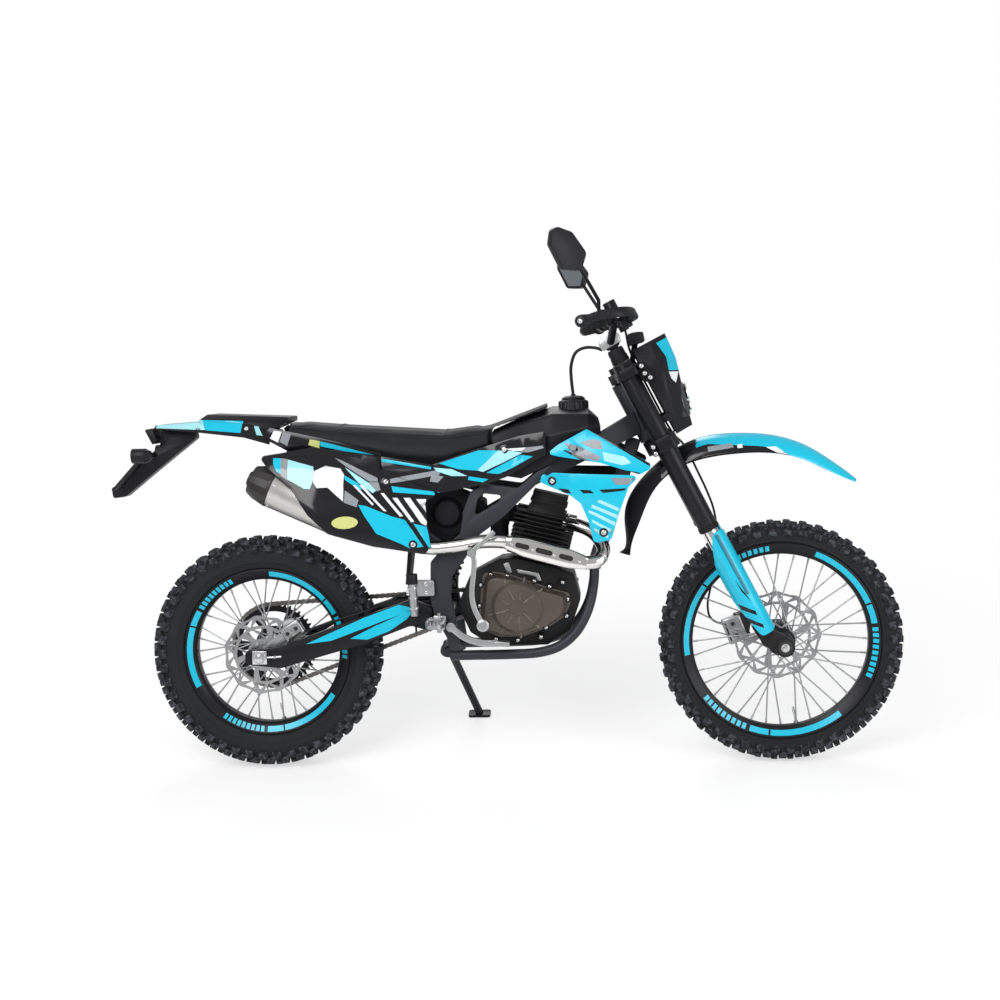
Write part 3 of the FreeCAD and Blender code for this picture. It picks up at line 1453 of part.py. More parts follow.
def make_tank_panel(side):
    """Long panel between seat, tank and frame."""
    outline = [(371, 906), (516, 878), (634, 916), (762, 952), (832, 962), (832, 899), (718, 837), (667, 821),
               (535, 799), (371, 867)]
    stations = [(360, [(130, 960), (142, 870), (164, 780)]), (535, [(128, 960), (132, 870), (142, 780)]),
                (680, [(112, 960), (122, 880), (124, 780)]), (770, [(126, 990), (128, 900), (134, 780)]),
                (850, [(128, 990), (138, 900), (146, 780)])]
    sheet_piece = crowned_sheet(side, stations, outline, 6)
    return sheet_piece.fuse(boss(side, 655, 816, half_frame + size("fit_clearance"), 123)).cut(grown_tank)


def make_side_panel(side):
    """Rear side panel over the silencer."""
    outline = [(32, 914), (96, 922), (183, 936), (370.7, 906), (370.7, 867), (534, 799), (494, 776), (506, 653),
               (492, 631), (352, 659), (233, 699), (177, 754), (130, 827), (57, 887)]
    stations = [(20, [(110, 960), (180, 880), (212, 780), (226, 600)]),
                (200, [(126, 960), (184, 880), (222, 780), (234, 600)]),
                (400, [(128, 960), (146, 880), (172, 780), (184, 600)]),
                (540, [(126, 960), (134, 880), (142, 780), (160, 600)])]
    corners = [12, 12, 12, 0, 0, 12, 12, 12, 12, 12, 12, 12, 12, 12]
    return crowned_sheet(side, stations, outline, corners).fuse(boss(side, 330, 884, 85, 150))


shaped("shrouds", Part.makeCompound([both_sides(make_upper_shroud), both_sides(make_lower_shroud)]))
shaped("side_panels", Part.makeCompound([both_sides(make_tank_panel), both_sides(make_side_panel)]))


def make_rear_fender():
    """Rear mudguard from under the seat to the tail, with the flat pad on it."""
    stations = []
    for x, low, high, half in ((-290, 996, 1006, 70), (-160, 984, 1012, 92), (-20, 966, 1004, 104), (52, 944, 980, 104)):
        stations.append((x, [(0, high), (half * 0.7, high), (half, low), (half * 0.6, high - 7), (0, high - 7)]))
    pad_outline = [(-172, 1010), (-134, 1033), (99, 1020), (99, 1006), (40, 981), (-20, 1002)]
    return hull_along_x(stations).fuse(side_prism(pad_outline, -62, 62, 5))


def make_tail_light():
    """Lamp block under the tip of the rear mudguard."""
    return side_prism([(-322, 994), (-300, 998), (-288, 962), (-300, 949)], -55, 55, [4, 4, 0, 4])


def make_plate_holder():
    """Arm below the tail with the number plate bracket."""
    outline = [(-281.5, 998.9), (-190, 1003), (-184, 964), (-296, 880), (-400, 800), (-436, 796), (-440, 828),
               (-402, 836), (-322, 920), (-290, 944)]
    arm = side_prism(outline, -22, 22, [0, 0, 8, 8, 8, 8, 8, 8, 0, 0])
    low = Vector(-414, 0, 824)
    high = Vector(-339, 0, 903)
    plate = bar(low, high, 178, 5)
    normal = (high - low).cross(LEFT).normalize()
    middle = (low + high) / 2
    holes = []
    for side in SIDES:
        centre = middle + LEFT * side * size("plate_hole_spacing") / 2
        holes.append(rod(centre - normal * 10, centre + normal * 10, size("plate_hole_radius")))
    return arm.fuse(plate).cut(holes)


def make_rear_signal(side):
    """Rear turn signal on its stalk."""
    stalk = rod(Vector(-306, side * 22.3, 921), Vector(-314, side * 92, 922), 7)
    lamp = cone(Vector(-290, side * 108, 922), Vector(-306, side * 108, 922), 14, 21)
    rim = rod(Vector(-304, side * 108, 922), Vector(-342, side * 108, 922), 21)
    return stalk.fuse([lamp, rim])


shaped("rear_fender", make_rear_fender())
shaped("plate_holder", make_plate_holder())
shaped("rear_lights", Part.makeCompound([make_tail_light(), both_sides(make_rear_signal)]))


# Side stand

lean = math.radians(size("lean_angle"))
stand_pivot = Vector(size("stand_pivot_x"), size("stand_pivot_y"), size("stand_pivot_z"))
stand_tilt = math.radians(size("stand_axis_tilt"))
stand_axis = Vector(0, math.cos(stand_tilt), math.sin(stand_tilt))


def make_stand_bracket():
    """Bracket on the frame that carries the side stand."""
    inner = Vector(562, half_frame - 9, 324)
    arm = bar(inner, stand_pivot - stand_axis * 22, 26, 12, stand_axis)
    cheek = rod(stand_pivot - stand_axis * 26, stand_pivot - stand_axis * 14, 22)
    pin = rod(stand_pivot - stand_axis * 16, stand_pivot + stand_axis * 18, 7)
    return arm.fuse([cheek, pin])


def make_side_stand(ground_drop):
    """Stand leg whose foot meets the ground on the left."""
    foot_y = size("stand_foot_y")
    ground_normal = Vector(0, -math.sin(lean), math.cos(lean))
    foot = Vector(size("stand_foot_x"), foot_y, foot_y * math.tan(lean) - ground_drop / math.cos(lean))
    hub = rod(stand_pivot - stand_axis * 13.5, stand_pivot + stand_axis * 12, 18)
    bore = rod(stand_pivot - stand_axis * 20, stand_pivot + stand_axis * 20, 7.3)
    leg = rod(stand_pivot + stand_axis * 2, foot + ground_normal * 8, size("stand_leg_radius"))
    toe = Vector(1, 0, 0)
    out = ground_normal.cross(toe)
    corners = [(-34, -20), (34, -20), (34, 24), (-34, 24)]
    foot_pad = prism([foot + toe * i + out * j for i, j in corners], ground_normal * 8, 8)
    return hub.fuse([leg, foot_pad]).cut(bore)


def tyre_drop():
    """How far the leaned tyres reach below the line the upright wheels stand on."""
    lean_turn = Rotation(Vector(1, 0, 0), -size("lean_angle"))
    lows = []
    for item in nodes:
        if item.Label in ("front_tyre", "rear_tyre"):
            leaned = item.Shape.copy()
            leaned.Placement = Placement(Vector(), lean_turn)
            lows.append(-leaned.optimalBoundingBox(False).ZMin)
    return max(lows)


shaped("engine_cradle", Part.makeCompound([make_cradle(-1), make_cradle(1).fuse(make_stand_bracket())]))
shaped("side_stand", make_side_stand(tyre_drop()))


# Lean the machine over and set it down with the origin below the middle of its box.

doc.recompute()
turn = Rotation(Vector(1, 0, 0), -size("lean_angle"))
box = FreeCAD.BoundBox()
for item in nodes:
    leaned = item.Shape.copy()
    leaned.Placement = Placement(Vector(), turn).multiply(leaned.Placement)
    box.add(leaned.optimalBoundingBox(False))
shift = Vector(-(box.XMin + box.XMax) / 2, -(box.YMin + box.YMax) / 2, -box.ZMin)
for item in nodes:
    item.Placement = Placement(shift, turn).multiply(item.Placement)
doc.recompute()

os.makedirs("parts", exist_ok=True)
for item in doc.Objects:
    if "Invalid" in item.State or "Error" in item.State:
        raise RuntimeError(f"{item.Label} failed")
for item in nodes:
    if item.Shape.isNull() or not item.Shape.isValid():
        raise RuntimeError(f"{item.Label} has no valid shape")
for item in nodes:
    item.Shape.exportStep(f"parts/{item.Label}.step")
print("nodes", len(nodes), "shift", [round(v, 3) for v in shift], "box", round(box.XLength, 1),
      round(box.YLength, 1), round(box.ZLength, 1))
print("axles", [round(v, 3) for v in (*front_axle, *rear_axle)])
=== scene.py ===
import json
import math

import bpy
from bpy.props import FloatProperty, FloatVectorProperty, IntProperty, PointerProperty
from mathutils import Matrix, Vector

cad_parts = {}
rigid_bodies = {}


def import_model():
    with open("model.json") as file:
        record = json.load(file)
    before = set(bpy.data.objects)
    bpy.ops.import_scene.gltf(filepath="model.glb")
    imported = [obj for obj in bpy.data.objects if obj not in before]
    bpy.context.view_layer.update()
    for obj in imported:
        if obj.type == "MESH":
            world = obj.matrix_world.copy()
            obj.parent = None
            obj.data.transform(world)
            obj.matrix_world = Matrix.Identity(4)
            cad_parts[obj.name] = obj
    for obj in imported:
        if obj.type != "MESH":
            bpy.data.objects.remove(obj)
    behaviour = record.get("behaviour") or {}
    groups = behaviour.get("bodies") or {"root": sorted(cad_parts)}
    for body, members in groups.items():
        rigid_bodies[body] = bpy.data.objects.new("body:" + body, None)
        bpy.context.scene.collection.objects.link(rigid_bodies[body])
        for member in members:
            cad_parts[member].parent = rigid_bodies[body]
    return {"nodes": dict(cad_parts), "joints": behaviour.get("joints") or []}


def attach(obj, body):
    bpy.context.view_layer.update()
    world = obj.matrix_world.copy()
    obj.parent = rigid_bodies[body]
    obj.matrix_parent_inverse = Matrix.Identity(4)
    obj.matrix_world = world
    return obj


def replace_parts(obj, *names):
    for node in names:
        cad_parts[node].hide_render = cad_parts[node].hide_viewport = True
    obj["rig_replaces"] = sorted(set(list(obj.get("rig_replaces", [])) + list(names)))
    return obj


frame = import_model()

bl_info = {
    "name": "Dual Sport Motorcycle",
    "version": (1, 0, 0),
    "blender": (4, 5, 0),
    "location": "View3D > Sidebar > Motorcycle",
    "description": "Dresses the packed motorcycle with its detailed pieces and finishes",
    "category": "Object",
}

# Places. The machine is drawn upright, X forward and Y to its left, and set down on its stand with BIKE.

JOINTS = {joint["name"]: joint for joint in frame["joints"]}
NODES = frame["nodes"]
WHEEL_AXIS = Vector(JOINTS["rear_wheel_spin"]["axis"])
LEAN = math.atan2(WHEEL_AXIS.z, WHEEL_AXIS.y)
REAR_AXLE = Vector((0, 0, 0.338))
TURN = Matrix.Rotation(LEAN, 4, "X")
SHIFT = Vector(JOINTS["rear_wheel_spin"]["pos_m"]) - TURN @ REAR_AXLE
BIKE = Matrix.Translation(SHIFT) @ TURN
FRONT_AXLE = BIKE.inverted() @ Vector(JOINTS["front_wheel_spin"]["pos_m"])
RAKE = math.radians(26.5)
UP_FORK = Vector((-math.sin(RAKE), 0, math.cos(RAKE)))
FORWARD_FORK = Vector((math.cos(RAKE), 0, math.sin(RAKE)))
LEFT = Vector((0, 1, 0))
FORK_FOOT = FRONT_AXLE - FORWARD_FORK * 0.058
SIDES = (-1, 1)


def fork(a, b, c):
    """Point a forward, b left and c up along the steering axis, in millimetres."""
    return FORK_FOOT + (FORWARD_FORK * a + LEFT * b + UP_FORK * c) / 1000


def mm(x, y, z):
    """Point of the upright machine in millimetres."""
    return Vector((x, y, z)) / 1000


# Modelling helpers

def only(*pieces):
    """Select these pieces alone, the first one active."""
    bpy.ops.object.select_all(action="DESELECT")
    for piece in pieces:
        piece.select_set(True)
    bpy.context.view_layer.objects.active = pieces[0]


def rest_place(piece):
    """Put a piece's place into its mesh."""
    only(piece)
    bpy.ops.object.transform_apply(location=True, rotation=True, scale=True)


def block(centre, size, turn=None):
    """Cube primitive at a place."""
    bpy.ops.object.select_all(action="DESELECT")
    bpy.ops.mesh.primitive_cube_add(size=1, location=centre)
    piece = bpy.context.object
    piece.scale = size
    if turn:
        piece.rotation_euler = turn
    rest_place(piece)
    return piece


def rod(start, end, radius, sides=24, end_radius=None):
    """Round bar or cone between two points."""
    axis = end - start
    bpy.ops.object.select_all(action="DESELECT")
    bpy.ops.mesh.primitive_cone_add(vertices=sides, radius1=radius,
                                    radius2=radius if end_radius is None else end_radius,
                                    depth=axis.length, location=(start + end) / 2,
                                    rotation=axis.to_track_quat("Z", "Y").to_euler())
    piece = bpy.context.object
    rest_place(piece)
    return piece


def loop_of(points, fill_type):
    """Closed loop through points, open or filled, left in edit mode."""
    bpy.ops.object.select_all(action="DESELECT")
    bpy.ops.mesh.primitive_circle_add(vertices=len(points), fill_type=fill_type)
    piece = bpy.context.object
    for vertex, point in zip(piece.data.vertices, points):
        vertex.co = point
    bpy.ops.object.mode_set(mode="EDIT")
    bpy.ops.mesh.select_all(action="SELECT")
    return piece


def plate(points, push):
    """Flat outline filled and extruded."""
    piece = loop_of(points, "NGON")
    bpy.ops.mesh.extrude_region_move(TRANSFORM_OT_translate={"value": push})
    bpy.ops.mesh.select_all(action="SELECT")
    bpy.ops.mesh.normals_make_consistent(inside=False)
    bpy.ops.object.mode_set(mode="OBJECT")
    return piece


def side_plate(outline, y_from, y_to):
    """Solid between two upright planes from an outline of (x, z) in millimetres."""
    return plate([mm(x, y_from, z) for x, z in outline], Vector((0, (y_to - y_from) / 1000, 0)))


def fork_plate(outline, b_from, b_to):
    """Solid between two planes beside the fork from an outline of (a, c) in millimetres."""
    return plate([fork(a, b_from, c) for a, c in outline], LEFT * ((b_to - b_from) / 1000))


def turned(profile, centre, axis, steps, angle=math.tau):
    """Solid of revolution: an outline of points spun about an axis."""
    piece = loop_of(profile, "NOTHING")
    bpy.ops.mesh.spin(steps=steps, angle=angle, center=centre, axis=axis)
    bpy.ops.object.mode_set(mode="OBJECT")
    return outward(piece)


def about_axle(profile, centre, steps=96):
    """Solid of revolution across the machine from (y, radius) points in millimetres."""
    return turned([centre + mm(radius, y, 0) for y, radius in profile], centre, LEFT, steps)


def lathed(profile, foot, axis, steps, out=None):
    """Solid of revolution about any axis from (radius, height) points in millimetres."""
    if out is None:
        out = axis.cross(LEFT).normalized()
    return turned([foot + (out * r + axis * h) / 1000 for r, h in profile], foot, axis, steps)


def both_sides(half):
    """Whole section from its left half of (y, radius) points."""
    return half + [(-y, radius) for y, radius in reversed(half)]


def round_point(centre, reach, angle, y):
    """Point round an axle in millimetres, its angle taken from forward to up."""
    return centre + mm(math.cos(angle) * reach, y, math.sin(angle) * reach)


def arc_window(centre, y, depth, outer, inner, start, lean, step):
    """Cutter between two arcs of six points round an axle, the outer one leaning ahead."""
    points = [round_point(centre, outer, start + lean + index * step, y) for index in range(6)]
    points += [round_point(centre, inner, start + index * step, y) for index in reversed(range(6))]
    return plate(points, mm(0, depth, 0))


def tube(points, radius, resolution=10, sides=4, order=3):
    """Round tube along one smooth curve."""
    data = bpy.data.curves.new("route", "CURVE")
    data.dimensions = "3D"
    data.bevel_depth = radius
    data.bevel_resolution = sides
    data.use_fill_caps = True
    data.resolution_u = resolution
    spline = data.splines.new("NURBS")
    spline.points.add(len(points) - 1)
    for place, point in zip(spline.points, points):
        place.co = (*point, 1)
    spline.order_u = order
    spline.use_endpoint_u = True
    piece = bpy.data.objects.new("route", data)
    bpy.context.collection.objects.link(piece)
    only(piece)
    bpy.ops.object.convert(target="MESH")
    return outward(bpy.context.object)


def skin(sections, closed_ends=True):
    """Surface through rows of points, closed round each row."""
    rows = len(sections)
    count = len(sections[0])
    points = [point for section in sections for point in section]
    faces = []
    for row in range(rows - 1):
        for index in range(count):
            after = (index + 1) % count
            faces.append((row * count + index, row * count + after,
                          (row + 1) * count + after, (row + 1) * count + index))
    if closed_ends:
        faces.append(tuple(range(count))[::-1])
        faces.append(tuple((rows - 1) * count + index for index in range(count)))
    mesh = bpy.data.meshes.new("skin")
    mesh.from_pydata([tuple(point) for point in points], [], faces)
    piece = bpy.data.objects.new("skin", mesh)
    bpy.context.collection.objects.link(piece)
    return outward(piece, 0.00001)


def outward(piece, merge=0.00002):
    """Merge doubles and point the faces outwards."""
    only(piece)
    bpy.ops.object.mode_set(mode="EDIT")
    bpy.ops.mesh.select_all(action="SELECT")
    bpy.ops.mesh.remove_doubles(threshold=merge)
    bpy.ops.mesh.normals_make_consistent(inside=False)
    bpy.ops.object.mode_set(mode="OBJECT")
    return piece


def add_modifier(piece, kind, **settings):
    """Add and apply one modifier."""
    only(piece)
    modifier = piece.modifiers.new(kind, kind)
    for key, value in settings.items():
        setattr(modifier, key, value)
    bpy.ops.object.modifier_apply(modifier=modifier.name)


def eased(piece, width=0.8, segments=2, angle=28):
    """Bevel the sharp edges, width in millimetres."""
    add_modifier(piece, "BEVEL", width=width / 1000, segments=segments, limit_method="ANGLE",
                 angle_limit=math.radians(angle), use_clamp_overlap=True, miter_outer="MITER_ARC")
    return piece


def rounded(piece, levels=2):
    """Subdivide to a smooth form."""
    add_modifier(piece, "SUBSURF", levels=levels, render_levels=levels)
    return piece


def carved(piece, *tools, operation="DIFFERENCE"):
    """Boolean with other pieces, which are used up."""
    for tool in tools:
        add_modifier(piece, "BOOLEAN", operation=operation, solver="EXACT", object=tool)
        bpy.data.objects.remove(tool)
    return piece


def joined(pieces):
    """Several pieces as one object."""
    only(*pieces)
    if len(pieces) > 1:
        bpy.ops.object.join()
    return bpy.context.object


def copy_of(piece, matrix):
    """A copy with its own mesh, moved."""
    twin = piece.copy()
    twin.data = piece.data.copy()
    bpy.context.collection.objects.link(twin)
    twin.data.transform(matrix)
    if matrix.determinant() < 0:
        twin.data.flip_normals()
    return twin


def moved(piece, step):
    """The piece shifted by a step."""
    piece.data.transform(Matrix.Translation(step))
    return piece


def mirrored(piece):
    """The same piece on the other side of the machine."""
    return copy_of(piece, Matrix.Diagonal((1, -1, 1, 1)))


def about(centre, angle):
    """Turn about a wheel axle."""
    return Matrix.Translation(centre) @ Matrix.Rotation(angle, 4, LEFT) @ Matrix.Translation(-centre)


def round_the_axle(piece, centre, count, phase=0.0):
    """Copies of a piece at equal steps about an axle, the first one included."""
    ring = [copy_of(piece, about(centre, phase + math.tau * index / count)) for index in range(count)]
    bpy.data.objects.remove(piece)
    return joined(ring)


def smooth(piece, angle=35):
    """Smooth shading broken at sharp edges."""
    only(piece)
    bpy.ops.object.shade_smooth_by_angle(angle=math.radians(angle))
    return piece


def finish_piece(piece, name, body, finish, replaces=(), angle=35):
    """Set a piece down on its place, paint it and let it ride on its body."""
    piece.name = name
    piece.data.name = name
    piece.data.transform(BIKE)
    piece.data.materials.clear()
    piece.data.materials.append(bpy.data.materials[finish])
    smooth(piece, angle)
    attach(piece, body)
    if replaces:
        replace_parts(piece, *replaces)
    return piece


def steel(piece, name, body="chassis"):
    """Small bright fittings."""
    return finish_piece(piece, name, body, "bright steel")


def bare_copy(node):
    """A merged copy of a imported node, upright and free of its body."""
    piece = NODES[node].copy()
    piece.data = NODES[node].data.copy()
    piece.parent = None
    for key in list(piece.keys()):
        del piece[key]
    bpy.context.collection.objects.link(piece)
    piece.hide_viewport = piece.hide_render = False
    piece.hide_set(False)
    only(piece)
    bpy.ops.object.mode_set(mode="EDIT")
    bpy.ops.mesh.select_all(action="SELECT")
    bpy.ops.mesh.remove_doubles(threshold=0.00002)
    bpy.ops.mesh.dissolve_limited(angle_limit=math.radians(0.5))
    bpy.ops.object.mode_set(mode="OBJECT")
    piece.data.transform(BIKE.inverted())
    return piece


def softened(node, body, finish, width=1.2, segments=2, angle=35):
    """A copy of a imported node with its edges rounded."""
    piece = eased(bare_copy(node), width, segments)
    return finish_piece(piece, node + "_body", body, finish, [node], angle)


def facing(piece, way, least=0.25):
    """Only the faces of a piece that look one way, and on that side of the machine."""
    only(piece)
    bpy.ops.object.mode_set(mode="EDIT")
    bpy.ops.mesh.select_mode(type="FACE")
    bpy.ops.mesh.select_all(action="DESELECT")
    bpy.ops.object.mode_set(mode="OBJECT")
    for face in piece.data.polygons:
        face.select = face.normal.dot(way) < least or (way.y != 0 and face.center.y * way.y < 0.01)
    bpy.ops.object.mode_set(mode="EDIT")
    bpy.ops.mesh.delete(type="FACE")
    bpy.ops.mesh.select_mode(type="VERT")
    bpy.ops.object.mode_set(mode="OBJECT")
    return piece


def cut_off(piece, planes, fill):
    """Cut away what lies beyond each (place, direction) plane."""
    only(piece)
    bpy.ops.object.mode_set(mode="EDIT")
    for place, way in planes:
        bpy.ops.mesh.select_all(action="SELECT")
        bpy.ops.mesh.bisect(plane_co=place, plane_no=way, use_fill=fill, clear_outer=True)
    bpy.ops.object.mode_set(mode="OBJECT")
    return piece


def film(surface, corners, way, thick=0.5):
    """Thin film laid on a surface inside a convex outline that is swept along one way."""
    middle = sum(corners, Vector()) / len(corners)
    planes = []
    for start, end in zip(corners, corners[1:] + corners[:1]):
        outward_way = (end - start).cross(way).normalized()
        if outward_way.dot(start - middle) < 0:
            outward_way.negate()
        planes.append((start, outward_way))
    piece = cut_off(copy_of(surface, Matrix()), planes, False)
    if not piece.data.polygons:
        raise RuntimeError(f"a film at {tuple(middle)} lies beside its surface")
    add_modifier(piece, "SOLIDIFY", thickness=thick / 1000, offset=1.0)
    return piece


def lay_films(name, surface, body, rows):
    """Every coloured film of a surface on the right, and its twin on the left."""
    laid = {}
    for index, (finish, outline) in enumerate(rows):
        right = film(surface, [mm(x, 0, z) for x, z in outline], LEFT, 0.3 + 0.05 * index)
        laid.setdefault(finish, []).extend([right, mirrored(right)])
    bpy.data.objects.remove(surface)
    for finish, pieces in laid.items():
        finish_piece(joined(pieces), name + "_" + finish.replace(" ", "_"), body, finish, (), 50)


def node_films(node, body, rows, least=0.25):
    """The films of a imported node."""
    lay_films(node, facing(bare_copy(node), -LEFT, least), body, rows)


def button_head(radius):
    """Domed screw head with a hexagon socket, standing on the origin along Z."""
    outline = ((1, 0), (1, 0.18), (0.86, 0.42), (0.55, 0.6), (0, 0.66), (0, -0.3), (1, -0.3))
    dome = [Vector((r, 0, h)) * radius for r, h in outline]
    head = turned(dome, Vector(), Vector((0, 0, 1)), 20)
    socket = rod(Vector((0, 0, radius * 0.3)), Vector((0, 0, radius)), radius * 0.42, 6)
    return carved(head, socket)


def screws(spots, radius):
    """Screw heads on (point, direction) spots."""
    head = button_head(radius / 1000)
    heads = [copy_of(head, Matrix.Translation(point) @ way.to_track_quat("Z", "Y").to_matrix().to_4x4())
             for point, way in spots]
    bpy.data.objects.remove(head)
    return joined(heads)


def flank_spots(node, places, lift=0.0):
    """Where screws at (x, z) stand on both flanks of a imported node."""
    surface = facing(bare_copy(node), -LEFT)
    spots = []
    for x, z in places:
        hit, point, normal, face = surface.ray_cast(mm(x, -400, z), LEFT)
        if not hit:
            raise RuntimeError(f"no surface of {node} at {x}, {z}")
        point = point + normal * lift / 1000
        spots.append((point, normal))
        spots.append((Vector((point.x, -point.y, point.z)), Vector((normal.x, -normal.y, normal.z))))
    bpy.data.objects.remove(surface)
    return spots


# Materials

def feed(tree, node, inputs):
    """Set a node's inputs to values or link them to other sockets."""
    for key, value in inputs.items():
        if isinstance(value, bpy.types.NodeSocket):
            tree.links.new(value, node.inputs[key])
        else:
            node.inputs[key].default_value = value
    return node


def socket_nodes(tree):
    """Short call that adds a node and sets its inputs."""
    def add(kind, inputs=None, **settings):
        node = tree.nodes.new(kind)
        for key, value in settings.items():
            setattr(node, key, value)
        return feed(tree, node, inputs or {})
    return add


def maths(add, operation, first, second):
    """Result of one math node."""
    return add("ShaderNodeMath", {0: first, 1: second}, operation=operation).outputs[0]


def new_group(name, inputs, outputs):
    """Empty shader group with named sockets."""
    group = bpy.data.node_groups.new(name, "ShaderNodeTree")
    for kind, sockets in (("INPUT", inputs), ("OUTPUT", outputs)):
        for label, socket_type, default in sockets:
            socket = group.interface.new_socket(name=label, in_out=kind, socket_type=socket_type)
            if default is not None:
                socket.default_value = default
    add = socket_nodes(group)
    return group, add, add("NodeGroupInput").outputs, add("NodeGroupOutput")


def build_groups():
    """Shared effects: surface grain, colour drift, and lighter sharp edges that are edge wear and, on the
    tyre rubber, a painted highlight.
    """
    vector = ("Vector", "NodeSocketVector", None)
    base = ("Colour", "NodeSocketColor", (0.5, 0.5, 0.5, 1))
    result = ("Colour", "NodeSocketColor", None)

    group, add, given, end = new_group(
        "Grain", [vector, ("Scale", "NodeSocketFloat", 400.0), ("Roughness", "NodeSocketFloat", 0.4),
                  ("Spread", "NodeSocketFloat", 0.1)],
        [("Height", "NodeSocketFloat", None), ("Roughness", "NodeSocketFloat", None)])
    fine = add("ShaderNodeTexNoise", {"Vector": given["Vector"], "Scale": given["Scale"], "Detail": 3.0})
    broad = add("ShaderNodeTexNoise", {"Vector": given["Vector"], "Scale": 14.0, "Detail": 4.0})
    centred = maths(add, "SUBTRACT", broad.outputs["Fac"], 0.5)
    spread = maths(add, "MULTIPLY", centred, given["Spread"])
    feed(group, end, {"Height": fine.outputs["Fac"],
                      "Roughness": maths(add, "ADD", spread, given["Roughness"])})

    group, add, given, end = new_group(
        "Drift", [vector, base, ("Amount", "NodeSocketFloat", 0.15), ("Scale", "NodeSocketFloat", 9.0)],
        [result])
    cloud = add("ShaderNodeTexNoise", {"Vector": given["Vector"], "Scale": given["Scale"], "Detail": 5.0})
    centred = maths(add, "SUBTRACT", cloud.outputs["Fac"], 0.5)
    gain = maths(add, "ADD", maths(add, "MULTIPLY", centred, given["Amount"]), 1.0)
    tinted = add("ShaderNodeVectorMath", {0: given["Colour"], "Scale": gain}, operation="SCALE")
    feed(group, end, {"Colour": tinted.outputs[0]})

    group, add, given, end = new_group(
        "Rubbed And Lit Edges", [base, ("Worn", "NodeSocketColor", (0.6, 0.6, 0.6, 1)), vector,
                      ("Amount", "NodeSocketFloat", 0.5)], [result])
    # lighter colour in patches on sharp edges: a painted highlight on the tyre blocks' edges, edge wear on
    # the other finishes
    edge = add("ShaderNodeNewGeometry")
    ramp = add("ShaderNodeMapRange", {"Value": edge.outputs["Pointiness"], "From Min": 0.53,
                                      "From Max": 0.62})
    speckle = add("ShaderNodeTexNoise", {"Vector": given["Vector"], "Scale": 90.0, "Detail": 6.0})
    patch = add("ShaderNodeMapRange", {"Value": speckle.outputs["Fac"], "From Min": 0.45, "From Max": 0.65})
    both = maths(add, "MULTIPLY", ramp.outputs["Result"], patch.outputs["Result"])
    # sockets 6 and 7 of a colour mix are its two colours, and its output 2 is the mixed one
    mix = add("ShaderNodeMix", {"Factor": maths(add, "MULTIPLY", both, given["Amount"]),
                                6: given["Colour"], 7: given["Worn"]}, data_type="RGBA")
    feed(group, end, {"Colour": mix.outputs[2]})


RELIEF = 0.0006


def finish_material(name, colour, roughness, metallic=0.0, grain=400.0, bump=0.05, spread=0.12, drift=0.12,
                    rubbed_and_lit_colour=None, rubbed_and_lit_amount=0.4, stretch=(1, 1, 1), **shader):
    """One finish: colour drift, grain in roughness and relief, and lighter sharp edges, which are edge wear
    and, on the tyre rubber, a painted highlight.
    """
    material = bpy.data.materials.new(name)
    material.use_nodes = True
    tree = material.node_tree
    add = socket_nodes(tree)
    groups = bpy.data.node_groups
    place = add("ShaderNodeTexCoord").outputs["Object"]
    mapping = add("ShaderNodeMapping", {"Vector": place, "Scale": stretch}).outputs[0]
    surface = add("ShaderNodeGroup", {"Vector": mapping, "Scale": grain, "Roughness": roughness,
                                      "Spread": spread}, node_tree=groups["Grain"]).outputs
    shade = add("ShaderNodeGroup", {"Vector": mapping, "Colour": (*colour, 1), "Amount": drift},
                node_tree=groups["Drift"]).outputs["Colour"]
    # lighter sharp edges: a painted highlight on the tyre rubber, edge wear on the other finishes that ask
    # for it
    if rubbed_and_lit_colour:
        shade = add("ShaderNodeGroup", {"Vector": place, "Colour": shade, "Worn": (*rubbed_and_lit_colour, 1),
                                        "Amount": rubbed_and_lit_amount}, node_tree=groups["Rubbed And Lit Edges"]).outputs["Colour"]
    relief = add("ShaderNodeBump", {"Strength": bump, "Distance": RELIEF, "Height": surface["Height"]})
    extra = {key.replace("_", " ").title().replace("Ior", "IOR"): value for key, value in shader.items()}
    feed(tree, tree.nodes["Principled BSDF"],
         {"Base Color": shade, "Roughness": surface["Roughness"], "Normal": relief.outputs[0],
          "Metallic": metallic, **extra})


